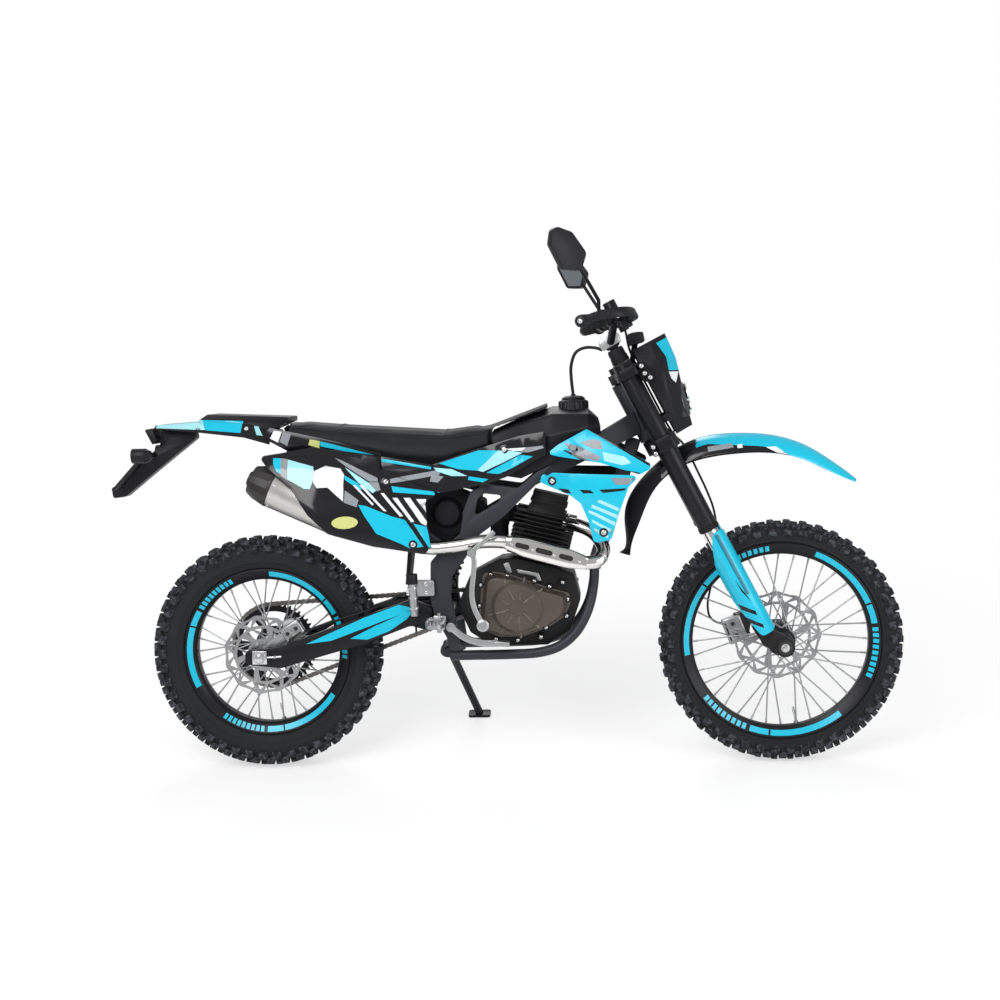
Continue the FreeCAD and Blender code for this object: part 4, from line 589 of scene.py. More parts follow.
def build_finishes(colours):
    """Every finish of the machine."""
    blue = tuple(colours.panel_colour)
    dull = {"specular_ior_level": 0.22}
    flat = {"grain": 500, "bump": 0.02}
    # the tyre's lighter bluish grey on its sharp block edges is a painted highlight
    finish_material("tyre rubber", (0.011, 0.0115, 0.014), 0.74, grain=900, bump=0.35, spread=0.2, drift=0.4,
                    rubbed_and_lit_colour=(0.07, 0.078, 0.09), rubbed_and_lit_amount=0.9, specular_ior_level=0.25)
    finish_material("black paint", (0.007, 0.007, 0.009), 0.34, grain=700, bump=0.08, **dull)
    finish_material("black wrinkle", (0.009, 0.009, 0.01), 0.5, grain=1100, bump=0.35, **dull)
    finish_material("frame grey", (0.03, 0.032, 0.039), 0.45, metallic=0.2, grain=900, bump=0.12, **dull)
    finish_material("black plastic", (0.008, 0.008, 0.01), 0.44, grain=1400, bump=0.12, spread=0.2, **dull)
    finish_material("rough plastic", (0.009, 0.009, 0.011), 0.62, grain=1600, bump=0.4, spread=0.2, **dull)
    finish_material("spoke steel", (0.36, 0.36, 0.37), 0.36, metallic=1.0, grain=600, bump=0.06, drift=0.1)
    finish_material("blue plastic", blue, 0.26, drift=0.06, **flat)
    finish_material("gloss black", (0.006, 0.006, 0.008), 0.16, grain=300, bump=0.01, specular_ior_level=0.4)
    finish_material("pale blue film", (0.32, 0.66, 0.72), 0.26, drift=0.12, **flat)
    finish_material("white film", (0.72, 0.74, 0.75), 0.26, drift=0.05, **flat)
    finish_material("grey film", (0.23, 0.25, 0.27), 0.28, drift=0.08, **flat)
    finish_material("deep blue film", (0.0, 0.16, 0.24), 0.26, drift=0.08, **flat)
    finish_material("yellow film", (0.52, 0.55, 0.19), 0.3, drift=0.05, **flat)
    finish_material("bright steel", (0.62, 0.62, 0.63), 0.26, metallic=1.0, grain=600, bump=0.06, drift=0.1)
    finish_material("ground steel", (0.42, 0.42, 0.43), 0.27, metallic=1.0, grain=700, bump=0.2, drift=0.35)
    finish_material("polished steel", (0.74, 0.73, 0.71), 0.12, metallic=1.0, grain=250, bump=0.03,
                    drift=0.12)
    finish_material("chain steel", (0.2, 0.19, 0.18), 0.38, metallic=1.0, grain=600, bump=0.15, drift=0.4)
    finish_material("cast alloy", (0.4, 0.405, 0.41), 0.36, metallic=1.0, grain=1200, bump=0.4, drift=0.14,
                    rubbed_and_lit_colour=(0.75, 0.75, 0.75))
    finish_material("engine black", (0.008, 0.008, 0.009), 0.46, grain=1200, bump=0.35, **dull)
    finish_material("engine bronze", (0.085, 0.07, 0.06), 0.42, metallic=0.5, grain=1000, bump=0.25,
                    rubbed_and_lit_colour=(0.3, 0.27, 0.24), rubbed_and_lit_amount=0.35)
    finish_material("brushed alloy", (0.56, 0.55, 0.53), 0.34, metallic=1.0, grain=260, bump=0.14, drift=0.14,
                    stretch=(0.15, 6, 6))
    finish_material("seat cover", (0.009, 0.0095, 0.012), 0.6, grain=1500, bump=0.5, spread=0.2,
                    drift=0.2, **dull)
    finish_material("seam thread", (0.03, 0.03, 0.033), 0.7, grain=1500, bump=0.3, **dull)
    finish_material("grip rubber", (0.009, 0.009, 0.01), 0.75, grain=1300, bump=0.3, **dull)
    finish_material("black hose", (0.007, 0.007, 0.009), 0.45, grain=900, bump=0.1, **dull)
    finish_material("cap black", (0.02, 0.018, 0.018), 0.42, metallic=0.3, grain=900, bump=0.15)
    finish_material("smoked red", (0.16, 0.006, 0.008), 0.12, grain=200, bump=0.02, coat_weight=0.6)
    finish_material("amber lens", (0.75, 0.22, 0.02), 0.15, grain=200, bump=0.02, coat_weight=0.6)
    finish_material("clear lens", (0.75, 0.78, 0.8), 0.06, grain=200, bump=0.01, transmission_weight=0.92)
    finish_material("mirror glass", (0.3, 0.33, 0.36), 0.03, metallic=1.0, grain=200, bump=0.0, spread=0.02)
    finish_material("dark screen", (0.01, 0.012, 0.014), 0.08, grain=200, bump=0.0, spread=0.02)


# Settings

class FinishSettings(bpy.types.PropertyGroup):
    panel_colour: FloatVectorProperty(name="Panel colour", description="Colour of the blue bodywork",
                                      subtype="COLOR", size=3, default=(0.0, 0.44, 0.62), min=0, max=1)


class StageSettings(bpy.types.PropertyGroup):
    floor_size: FloatProperty(name="Floor size", description="Side of the floor", subtype="DISTANCE",
                              unit="LENGTH", default=60.0)
    key_power: FloatProperty(name="Key power", description="Strength of the large lamp", default=135.0)
    world_light: FloatProperty(name="World light", description="Strength of the even light", default=0.5)
    lens: FloatProperty(name="Lens", description="Focal length of the camera in millimetres", default=49.9)


class WheelSettings(bpy.types.PropertyGroup):
    block_height: FloatProperty(name="Block height", description="Depth of the tread", subtype="DISTANCE",
                                unit="LENGTH", default=0.013)
    tread_pitches: IntProperty(name="Tread pitches", description="Repeats of the tread round a tyre",
                               default=46)
    spokes: IntProperty(name="Spokes", description="Spokes in each wheel, a multiple of four", default=36)
    spoke_radius: FloatProperty(name="Spoke radius", description="Half the thickness of a spoke",
                                subtype="DISTANCE", unit="LENGTH", default=0.0021)


# Stage

def build_stage(settings):
    """Floor, world, lamps and camera."""
    bpy.ops.object.select_all(action="DESELECT")
    bpy.ops.mesh.primitive_plane_add(size=settings.floor_size, location=(0, 0, -0.0005))
    floor = bpy.context.object
    floor.name = "floor"
    rest_place(floor)
    material = bpy.data.materials.new("floor")
    material.use_nodes = True
    tree = material.node_tree
    add = socket_nodes(tree)
    principled = tree.nodes["Principled BSDF"]
    feed(tree, principled, {"Base Color": (0.94, 0.94, 0.94, 1), "Roughness": 0.9,
                            "Specular IOR Level": 0.0})
    glow = add("ShaderNodeEmission", {"Color": (1, 1, 1, 1), "Strength": 1.0})
    light = add("ShaderNodeLightPath")
    place = add("ShaderNodeTexCoord")
    far = add("ShaderNodeVectorMath", {0: place.outputs["Object"]}, operation="LENGTH")
    blend = add("ShaderNodeMapRange", {"Value": far.outputs["Value"], "From Min": 1.1, "From Max": 2.6,
                                       "To Min": 0.6, "To Max": 1.0}, interpolation_type="SMOOTHSTEP")
    share = maths(add, "MULTIPLY", light.outputs["Is Camera Ray"], blend.outputs["Result"])
    mix = add("ShaderNodeMixShader", {0: share, 1: principled.outputs[0], 2: glow.outputs[0]})
    tree.links.new(mix.outputs[0], tree.nodes["Material Output"].inputs["Surface"])
    floor.data.materials.append(material)

    world = bpy.context.scene.world or bpy.data.worlds.new("world")
    bpy.context.scene.world = world
    world.use_nodes = True
    tree = world.node_tree
    add = socket_nodes(tree)
    light = add("ShaderNodeLightPath")
    either = maths(add, "MAXIMUM", light.outputs["Is Camera Ray"], light.outputs["Is Transmission Ray"])
    strength = add("ShaderNodeMapRange", {"Value": either, "To Min": settings.world_light, "To Max": 1.0})
    feed(tree, tree.nodes["Background"], {"Color": (1, 1, 1, 1), "Strength": strength.outputs["Result"]})

    for name, place, power, spread in (("key", (-1.6, -3.0, 3.6), settings.key_power, 2.6),
                                       ("fill", (3.0, -2.4, 1.8), settings.key_power * 0.45, 2.2),
                                       ("rim", (-0.5, 3.2, 3.0), settings.key_power * 0.5, 2.4)):
        data = bpy.data.lights.new(name, "AREA")
        data.energy = power
        data.size = spread
        lamp = bpy.data.objects.new(name, data)
        lamp.location = place
        lamp.rotation_euler = (Vector((0, 0, 0.7)) - Vector(place)).to_track_quat("-Z", "Y").to_euler()
        bpy.context.collection.objects.link(lamp)

    data = bpy.data.cameras.new("camera")
    data.lens = settings.lens
    data.sensor_width = 36
    data.shift_y = -0.008
    camera = bpy.data.objects.new("camera", data)
    bpy.context.collection.objects.link(camera)
    yaw, pitch, roll = 0.0745, 0.0842, -0.03
    back = Vector((math.sin(yaw) * math.cos(pitch), -math.cos(yaw) * math.cos(pitch), math.sin(pitch)))
    right = Vector((math.cos(yaw), math.sin(yaw), 0))
    up = back.cross(right)
    across = right * math.cos(roll) + up * math.sin(roll)
    upward = up * math.cos(roll) - right * math.sin(roll)
    axes = Matrix((across, upward, back)).transposed().to_4x4()
    camera.matrix_world = BIKE @ Matrix.Translation((0.98714, -3.95251, 1.12073)) @ axes
    bpy.context.scene.camera = camera
    bpy.context.scene.view_settings.view_transform = "Standard"


# Wheels

RUBBER_BLOCKS = (
    # along, across, height, share of the half width, drop, tilt and phase of each row of blocks
    (19, 27, 15, 0.0, 0.0, 0, 0.0), (20, 17, 15, 0.43, 2.0, 12, 0.0), (25, 18, 15, 0.78, 10.0, 38, 0.5),
    (27, 22, 13, 0.97, 30.0, 68, 0.0),
)


def tread_block(centre, radius, width, row):
    """One tapered rubber block of a row, on the tyre's forward side."""
    along, across, height, share, drop, tilt, phase = row
    piece = block(mm(-height / 2, 0, 0), mm(height, across * (0.35 + width / 172), along))
    for vertex in piece.data.vertices:
        if vertex.co.x > -0.001:
            vertex.co.y *= 0.8
            vertex.co.z *= 0.8
    eased(piece, 0.8, 1)
    piece.data.transform(Matrix.Rotation(math.radians(tilt), 4, "Z"))
    piece.data.transform(Matrix.Translation(centre + mm(radius - drop, share * width / 2, 0)))
    return piece, phase


def make_tyre(name, centre, radius, width, rim_radius, rim_width, settings):
    """Tyre with its carcass, bead lines and rows of blocks."""
    lug = settings.block_height * 1000
    crown = radius - lug
    half = width / 2 - 11
    rise = crown - rim_radius
    right = [(rim_width / 2 - 4.6, rim_radius - 12.7), (rim_width / 2 - 4.6, rim_radius + 1.2),
             (rim_width / 2 + 2, rim_radius + 3), (rim_width / 2 + 4.5, rim_radius + 6),
             (half * 0.9, rim_radius + rise * 0.24), (half * 0.96, rim_radius + rise * 0.27),
             (half * 0.95, rim_radius + rise * 0.33), (half * 0.985, rim_radius + rise * 0.4),
             (half, rim_radius + rise * 0.56),
             (half * 0.96, rim_radius + rise * 0.74), (half * 0.82, rim_radius + rise * 0.88),
             (half * 0.5, rim_radius + rise * 0.975), (half * 0.2, crown)]
    pieces = [about_axle(both_sides(right), centre, 120)]
    for row in RUBBER_BLOCKS:
        for side in SIDES:
            if side < 0 and row[3] == 0:
                continue
            piece, phase = tread_block(centre, radius, width, row)
            if side < 0:
                twin = mirrored(piece)
                bpy.data.objects.remove(piece)
                piece = twin
            count = settings.tread_pitches
            pieces.append(round_the_axle(piece, centre, count, math.tau * phase / count))
    return finish_piece(joined(pieces), name + "_tyre_tread", name + "_wheel", "tyre rubber",
                        [name + "_tyre"], 40)


def make_rim(name, centre, rim_radius, rim_width):
    """Rim with its well, its valve and the blue arcs on its sides."""
    half = rim_width / 2
    section = [(half - 4, -13), (half - 3.4, -2), (half - 2, 0), (half, -1), (half + 0.6, -4),
               (half - 0.6, -7), (half - 9, -25), (half * 0.42, -33), (half * 0.16, -34)]
    rim = about_axle(both_sides([(y, rim_radius + r) for y, r in section]), centre, 144)
    finish_piece(rim, name + "_rim_hoop", name + "_wheel", "black paint", [name + "_rim"], 30)
    first = 22 if name == "front" else 4
    strips = []
    spans = [(0, 45), (46.2, 58)] + [(60.5 + 3.6 * step, 62.9 + 3.6 * step) for step in range(9)]
    y_out, y_in = half - 0.9, half - 8
    band = [(y_out, -7.2), (y_out + 0.4, -7.3), (y_in + 0.4, -22.6), (y_in, -22.5)]
    for side in SIDES:
        points = [centre + mm(rim_radius + r, side * y, 0) for y, r in band]
        for start, end in spans:
            for third in range(3):
                steps = max(1, int((end - start) / 2.5))
                strip = turned(points, centre, LEFT, steps, math.radians(end - start))
                strip.data.transform(about(centre, math.radians(first + end + 120 * third - 90)))
                strips.append(strip)
    finish_piece(joined(strips), name + "_rim_arcs", name + "_wheel", "blue plastic", (), 30)
    parts = ((36, 70, 0.003, 12, None), (66, 82, 0.0042, 12, 0.0036), (36, 41, 0.0065, 6, None))
    stem = joined([rod(centre + mm(rim_radius - outer, 0, 0), centre + mm(rim_radius - inner, 0, 0),
                       radius, sides, tip) for outer, inner, radius, sides, tip in parts])
    stem.data.transform(about(centre, math.radians(80)))
    steel(stem, name + "_valve", name + "_wheel")


def make_spokes(name, centre, bed, flange, flange_y, hub_profile, hub_finish, settings):
    """Laced wheel: hub, crossed spokes and their nipples."""
    hub = about_axle(both_sides(hub_profile), centre, 64)
    eased(hub, 1.0, 2)
    finish_piece(hub, name + "_hub", name + "_wheel", hub_finish, [name + "_hub_spokes"], 30)
    quarter = []
    gap = math.tau / settings.spokes
    for index in range(4):
        side = 1 if index % 2 else -1
        lead = 1 if index < 2 else -1
        at_rim = gap * index
        near = round_point(centre, flange - 4, at_rim + lead * math.radians(66),
                           side * (flange_y + lead * 2.2))
        far = round_point(centre, bed - 1, at_rim, side * 5)
        way = (near - far).normalized()
        quarter.append(rod(near, far, settings.spoke_radius, 8))
        quarter.append(rod(far, far + way * 0.015, 0.0031, 8, 0.0026))
        quarter.append(rod(near - LEFT * side * 0.003, near + LEFT * side * lead * 0.0035, 0.0032, 8))
    lace = round_the_axle(joined(quarter), centre, settings.spokes // 4)
    finish_piece(lace, name + "_spokes", name + "_wheel", "spoke steel", (), 50)


def make_disc(centre, y, radius, carrier, body, node, lobes):
    """Wave brake disc with its slots, holes and carrier."""
    count = lobes * 16
    points = []
    for index in range(count):
        angle = math.tau * index / count
        reach = radius - 3 + 3 * max(-0.7, math.cos(angle * lobes))
        points.append(round_point(centre, reach, angle, y - 2))
    disc = plate(points, mm(0, 4, 0))
    hub_hole = rod(centre + mm(0, y - 9, 0), centre + mm(0, y + 9, 0), (carrier - 12) / 1000, 48)
    half = math.pi * (radius - 21) / lobes
    lobe = []
    for swing, flip in ((0.0, 1), (0.5, -1)):
        turn = Matrix.Rotation(math.tau * swing / lobes, 4, LEFT)
        corners = [(-0.66 * half, -9.5 * flip), (0.66 * half, -9.5 * flip), (0, 9.5 * flip)]
        points = [turn @ mm(radius - 21 + up, y - 6, along) for along, up in corners]
        lobe.append(eased(plate([centre + point for point in points], mm(0, 12, 0)), 2.0, 2, 60))
    cutters = [round_the_axle(joined(lobe), centre, lobes)]
    sixths = [math.tau * index / 6 for index in range(6)]
    for angle in sixths:
        cutters.append(arc_window(centre, y - 6, 12, radius - 38, carrier + 7, angle + 0.16, 0.2, 0.158))
    carved(disc, joined(cutters), hub_hole)
    eased(disc, 0.35, 1)
    spots = [round_point(centre, carrier - 5, angle, y) for angle in sixths]
    head = mm(0, math.copysign(6.5, y), 0)
    disc_bolts = eased(joined([rod(spot, spot + head, 0.0048, 6) for spot in spots]), 0.5, 1)
    finish_piece(disc, node + "_wave", body, "ground steel", [node], 25)
    finish_piece(disc_bolts, node + "_bolts", body, "bright steel", (), 30)


# Radius and width of the tyre, then of the rim
WHEEL_SIZES = {"front": (345, 88, 281, 52), "rear": (338, 112, 244, 66)}


def build_wheel(name, centre, settings):
    """Tyre, rim and laced hub of one wheel."""
    radius, width, rim_radius, rim_width = WHEEL_SIZES[name]
    make_tyre(name, centre, radius, width, rim_radius, rim_width, settings)
    make_rim(name, centre, rim_radius, rim_width)
    profile = [(69, 9), (69, 30), (60, 32), (44, 27), (38, 38), (34, 40), (29, 38), (24, 27), (10, 24)]
    finish = "black paint" if name == "front" else "cast alloy"
    make_spokes(name, centre, rim_radius - 34, 38, 31, profile, finish, settings)


# Drive

def chain_places(centre_a, radius_a, centre_b, radius_b, pitch):
    """Places of the pins, spaced evenly round two chain wheels."""
    gap = centre_a - centre_b
    away = math.atan2(gap.z, gap.x)
    swing = math.acos((radius_b - radius_a) / gap.length)

    track = []
    steps = 160
    for centre, radius, first, sweep in ((centre_a, radius_a, away - swing, 2 * swing),
                                         (centre_b, radius_b, away + swing, math.tau - 2 * swing)):
        for index in range(steps + 1):
            angle = first + sweep * index / steps
            track.append(centre + Vector((math.cos(angle), 0, math.sin(angle))) * radius)
    track.append(track[0])
    lengths = [0.0]
    for before, after in zip(track, track[1:]):
        lengths.append(lengths[-1] + (after - before).length)
    count = int(round(lengths[-1] / pitch / 2)) * 2
    pins = []
    segment = 0
    for index in range(count):
        reach = lengths[-1] * index / count
        while lengths[segment + 1] < reach:
            segment += 1
        share = (reach - lengths[segment]) / (lengths[segment + 1] - lengths[segment])
        pins.append(track[segment].lerp(track[segment + 1], share))
    return pins


def link_plate(width, thick, reach):
    """Figure-of-eight side plate of a link along X."""
    outline = []
    for end in (1, -1):
        for step in range(5):
            angle = math.radians(-70 + 35 * step) + (0 if end > 0 else math.pi)
            outline.append(Vector((end * reach / 2 + math.cos(angle) * width / 2, -thick / 2,
                                   math.sin(angle) * width / 2)))
        outline.append(Vector((0, -thick / 2, end * width * 0.36)))
    return plate(outline, Vector((0, thick, 0)))


CHAIN_PITCH = 0.015875
CHAIN_LINE = 0.0725
REAR_TEETH = 49
FRONT_TEETH = 13


def build_drive():
    """Chain with its links and the toothed rear wheel."""
    rear_radius, front_radius = (CHAIN_PITCH / (2 * math.sin(math.pi / teeth))
                                 for teeth in (REAR_TEETH, FRONT_TEETH))
    drive = mm(598, 0, 462)
    pins = chain_places(REAR_AXLE, rear_radius, drive, front_radius, CHAIN_PITCH)
    links = []
    # plate's side place, then half length, radius and sides of the pins, for inner and outer links
    for kind, (offset, reach, radius, sides) in enumerate(((0.0062, 0.0056, 0.0051, 10),
                                                           (0.0083, 0.0106, 0.0026, 8))):
        pattern = [moved(link_plate(0.0136, 0.0017, CHAIN_PITCH), (0, side * offset, 0)) for side in SIDES]
        for end in SIDES:
            pin = Vector((end * CHAIN_PITCH / 2, 0, 0))
            pattern.append(rod(pin - LEFT * reach, pin + LEFT * reach, radius, sides))
        pattern = joined(pattern)
        for index in range(kind, len(pins), 2):
            start, end = pins[index], pins[(index + 1) % len(pins)]
            heading = math.atan2(end.z - start.z, end.x - start.x)
            middle = (start + end) / 2 + LEFT * CHAIN_LINE
            links.append(copy_of(pattern, Matrix.Translation(middle) @ Matrix.Rotation(-heading, 4, LEFT)))
        bpy.data.objects.remove(pattern)
    links.append(rod(drive + LEFT * 0.063, drive + LEFT * (CHAIN_LINE + 0.0028), front_radius - 0.002, 26))
    finish_piece(joined(links), "chain_links", "chassis", "chain steel", ["chain"], 40)

    outline = [round_point(REAR_AXLE, rear_radius * 1000 + reach, math.tau * (index + share) / REAR_TEETH,
                           CHAIN_LINE * 1000 - 3)
               for index in range(REAR_TEETH)
               for share, reach in ((-0.32, -5.2), (-0.12, 4.2), (0.12, 4.2), (0.32, -5.2))]
    sprocket = plate(outline, LEFT * 0.006)
    cutters = [rod(REAR_AXLE + LEFT * 0.03, REAR_AXLE + LEFT * 0.12, 0.0235, 40)]
    for index in range(6):
        cutters.append(arc_window(REAR_AXLE, 60, 30, 102, 58, math.tau * index / 6 + 0.15, 0, 0.15))
    carved(sprocket, joined(cutters))
    finish_piece(eased(sprocket, 0.4, 1), "chain_wheel", "rear_wheel", "black paint",
                 ["rear_sprocket"], 30)


# Coloured films and screws of the bodywork

BLUE, PALE, WHITE, GREY = "blue plastic", "pale blue film", "white film", "grey film"
BLACK, DEEP, YELLOW = "gloss black", "deep blue film", "yellow film"

PANEL_FILMS = (
    (BLUE, [(74, 909), (96, 908), (102, 865), (88, 873), (76, 894)]),
    (GREY, [(96, 908), (117, 905), (120, 849), (101, 861)]),
    (PALE, [(117, 904), (191, 884), (195, 861), (184, 824), (168, 825), (120, 851)]),
    (WHITE, [(191, 870), (224, 885), (265, 876), (275, 859), (273, 827), (203, 826), (192, 842)]),
    (WHITE, [(231, 827), (274, 826.5), (274, 787), (253, 806)]),
    (GREY, [(278, 817), (315, 789), (310, 770), (276, 784)]),
    (GREY, [(241, 908), (271, 896), (365, 847), (367, 837), (338, 838), (279, 882)]),
    (PALE, [(277, 879), (338, 837.5), (362, 813), (353, 806), (315, 835)]),
    (BLUE, [(275, 858), (313, 835), (325, 816), (314, 819), (278, 845)]),
    (GREY, [(339, 836.5), (368, 835), (374, 813), (364, 811)]),
    (BLUE, [(310, 777), (333, 773), (404, 740), (425, 664), (349, 700), (326, 751)]),
    (BLUE, [(404, 740), (439, 729), (487, 653), (450, 650), (425, 664)]),
    (BLUE, [(461, 718), (497, 708), (509, 648), (503, 648)]),
    (WHITE, [(299, 830), (307, 829), (356, 776), (352, 773)]),
    (WHITE, [(317, 829), (326, 829), (390, 755), (382, 756)]),
    (WHITE, [(374, 805), (383, 805), (434, 740), (425, 739)]),
    (WHITE, [(406, 791), (419, 791), (464, 723), (455, 722)]),
    (WHITE, [(436, 790), (454, 789), (498, 722), (496, 711), (482, 718)]),
    (WHITE, [(470, 785), (497, 784), (497, 747)]),
    (YELLOW, [(277 + 35 * math.cos(math.tau * i / 24), 729 + 17 * math.sin(math.tau * i / 24))
              for i in range(24)]),
    (BLUE, [(376, 890), (376, 899), (512, 872), (512, 865)]),
    (GREY, [(373, 836), (408, 844), (538, 864), (535, 850), (469, 839), (403, 831)]),
    (BLUE, [(403, 823), (535, 801), (519, 794), (408, 806)]),
    (BLUE, [(534, 881), (645, 914), (700, 912), (639, 858), (589, 863)]),
    (PALE, [(700, 912), (741, 910), (770, 904), (713, 879), (657, 853), (640, 859)]),
    (WHITE, [(692, 913), (733, 917), (778, 919), (760, 906), (741, 910.5), (702, 912.5)]),
    (GREY, [(778, 919), (824, 923), (828, 917), (783, 905), (762, 907)]),
    (BLUE, [(665, 851), (762, 899), (796, 894), (740, 864), (699, 847)]),
    (BLUE, [(616, 843), (671, 833), (654, 825), (613, 833)]),
    (PALE, [(519, 870), (570, 864), (612, 844), (569, 845), (528, 859)]),
    (GREY, [(514, 853), (546, 844), (530, 828), (508, 832)]),
)
SHROUD_FILMS = (
    (GREY, [(882, 931), (925, 920), (983, 890), (974, 878), (911, 894)]),
    (PALE, [(988, 903), (1046, 890), (1066, 872), (1041, 866), (992, 879)]),
    (GREY, [(927, 930), (962, 938), (984, 933), (988, 910), (961, 913)]),
    (BLACK, [(880, 909), (889, 910), (978, 867), (969, 860)]),
    (BLACK, [(969, 861), (978, 866), (1088, 845), (1084, 840)]),
    (BLACK, [(949, 964), (960, 961), (1128, 862), (1112, 864)]),
    (BLACK, [(864, 806), (893, 803), (900, 792), (881, 794)]),
    (BLACK, [(923, 802), (953, 800), (962, 792), (933, 792)]),
    (BLACK, [(977, 801), (1050, 804), (1045, 798), (987, 792)]),
    (PALE, [(976, 774), (1030, 750), (1027, 741), (969, 768)]),
    (PALE, [(957, 761), (1026, 730), (1023, 721), (953, 753)]),
    (PALE, [(946, 747), (1020, 710), (1016, 701), (947, 738)]),
    (PALE, [(954, 720), (1011, 689), (1008, 680), (956, 711)]),
    (PALE, [(960, 696), (1000, 674), (997, 666), (962, 686)]),
    (GREY, [(1009, 833), (1074, 832), (1057, 814), (1022, 814)]),
)
FENDER_FILMS = (
    (BLACK, [(1150, 800), (1150, 960), (1258, 960), (1262, 905), (1283, 911), (1343, 880), (1230, 820)]),
    (BLACK, [(1262, 906), (1283, 911), (1415, 903), (1471, 880), (1343, 840), (1262, 830)]),
    (BLACK, [(1415, 903), (1446, 899), (1552, 852), (1471, 850)]),
    (GREY, [(1280, 904), (1348, 912), (1352, 900), (1282, 890)]),
    (WHITE, [(1362, 907), (1376, 910), (1377, 899), (1363, 898)]),
    (WHITE, [(1441, 899), (1469, 900), (1509, 871), (1491, 872)]),
)
GUARD_FILMS = (
    (DEEP, [(1288, 664), (1300, 668), (1384, 500), (1374, 498)]),
    (BLACK, [(1330, 560), (1372, 500), (1395, 470), (1362, 505)]),
    (BLACK, [(1352, 470), (1398, 452), (1402, 440), (1360, 455)]),
    (BLACK, [(1368, 435), (1418, 415), (1421, 404), (1376, 421)]),
)
MASK_FILMS = (
    (WHITE, [(1176, 1116), (1204, 1116), (1196, 1085), (1184, 1096)]),
    (BLUE, [(1163, 1203), (1200, 1203), (1207, 1120), (1176, 1120)]),
)
COVER_FILMS = (
    (WHITE, [(58, 962), (70, 984), (92, 980), (80, 950)]),
    (GREY, [(84, 952), (96, 979), (118, 974), (106, 940)]),
    (YELLOW, [(166, 941), (171, 957), (199, 951), (197, 931)]),
    (BLUE, [(200, 931), (200, 950), (233, 942), (363, 905), (363, 901), (280, 919)]),
)
ARM_FILMS = (
    (BLUE, [(135, 375), (207, 383), (349, 434), (307, 449)]),
    (BLUE, [(307, 448.5), (349, 434.5), (414, 457), (448, 473), (404, 483)]),
    (BLUE, [(262, 388), (312, 385), (377, 409), (342, 427)]),
    (BLUE, [(343, 426.5), (377, 409.5), (426, 442), (449, 470), (420, 460)]),
)
TAIL_FILMS = (
    (PALE, [(-288, 1010), (-150, 1018), (-136, 990), (-284, 998)]),
    (BLUE, [(-149, 1018), (-31, 1012), (-32, 979), (-135, 989)]),
    (PALE, [(2, 998), (14, 995), (30, 969), (13, 972)]),
)


def build_bodywork():
    """Panels, shrouds, tank, cap and seat covers with their films and screws."""
    softened("side_panels", "chassis", BLACK, 1.2)
    shrouds = softened("shrouds", "chassis", BLUE, 1.2)
    two_tone(shrouds, "black plastic", lambda place, way: place.y * way.y < -0.01)
    planes = ((mm(952, 0, 1016), Vector((1, 0, 1.15))), (mm(984, 0, 966), Vector((1, 0, 0.25))))
    tank = eased(cut_off(bare_copy("fuel_tank"), planes, True), 7.0, 3, 20)
    finish_piece(tank, "tank_shell", "chassis", "black plastic", ["fuel_tank"], 30)
    node_films("side_panels", "chassis", PANEL_FILMS)
    node_films("shrouds", "chassis", SHROUD_FILMS)
    cover = side_plate([(44, 982), (58, 992), (140, 973), (250, 947), (372, 913), (368, 898), (250, 924),
                        (183, 929), (112, 922), (58, 952)], -117, -114)
    eased(cover, 1.0, 2)
    surface = facing(copy_of(cover, Matrix()), -LEFT)
    lay_films("seat_cover_panels", surface, "chassis", COVER_FILMS)
    finish_piece(joined([cover, mirrored(cover)]), "seat_cover_panels", "chassis", BLACK)
    spots = flank_spots("side_panels", ((388, 836), (459, 660), (716, 915)), 0.4)
    spots += flank_spots("shrouds", ((848, 826), (986, 683)), 0.4)
    steel(screws(spots, 8), "panel_screws")
    washers = [rod(point - way * 0.001, point + way * 0.001, 0.0125, 28) for point, way in spots]
    finish_piece(eased(joined(washers), 0.5, 2), "panel_washers", "chassis", BLACK)
    centre = mm(909, 0, 1004)
    ring = [(20, -2), (44, -2), (44.5, 8), (43, 12), (43, 34), (40, 38), (34, 40), (32, 46), (24, 51),
            (8, 53), (7, 56), (4, 56), (4, 53), (0, 53), (0, -2)]
    cap = lathed(ring, centre, Vector((0, 0, 1)), 72, Vector((1, 0, 0)))
    grooves = []
    for index in range(18):
        angle = math.tau * index / 18
        spot = centre + mm(math.cos(angle) * 45, math.sin(angle) * 45, 16)
        grooves.append(rod(spot, spot + mm(0, 0, 30), 0.0042, 12))
    carved(cap, joined(grooves))
    finish_piece(eased(cap, 0.6, 1), "filler_cap", "chassis", "black plastic",
                 ["fuel_cap"], 40)
    vent = smooth_line([mm(909, 0, 1058), mm(905, 0, 1100), mm(905, -1, 1140), mm(918, -4, 1176),
                        mm(944, -8, 1190), mm(974, -12, 1189), mm(994, -14, 1182)])
    finish_piece(tube(vent, 0.0045, 3, 4), "vent_hose", "chassis", "black hose", (), 60)


# Seat

def spots_on(piece, places, way):
    """Where rays along one way first meet a piece, with the surface's direction there."""
    found = []
    for place in places:
        hit, point, normal, face = piece.ray_cast(place, way)
        if not hit:
            raise RuntimeError(f"a ray from {tuple(place)} meets nothing")
        found.append((point, normal))
    return found


def seam_along(spots, gap=0.006):
    """Raised seam with a row of stitches beside it."""
    line = tube([point + normal * 0.0004 for point, normal in spots], 0.0013, 6, 2)
    thread = rod(Vector((-0.0016, 0, 0)), Vector((0.0016, 0, 0)), 0.0005, 6)
    stitches = []
    for (start, normal), (end, after) in zip(spots, spots[1:]):
        way = end - start
        across = way.cross(normal).normalized()
        for index in range(int(way.length / gap)):
            place = start + way * (index * gap / way.length) + across * 0.0045 + normal * 0.0004
            turn = way.to_track_quat("X", "Z").to_matrix().to_4x4()
            stitches.append(copy_of(thread, Matrix.Translation(place) @ turn))
    bpy.data.objects.remove(thread)
    return line, joined(stitches)


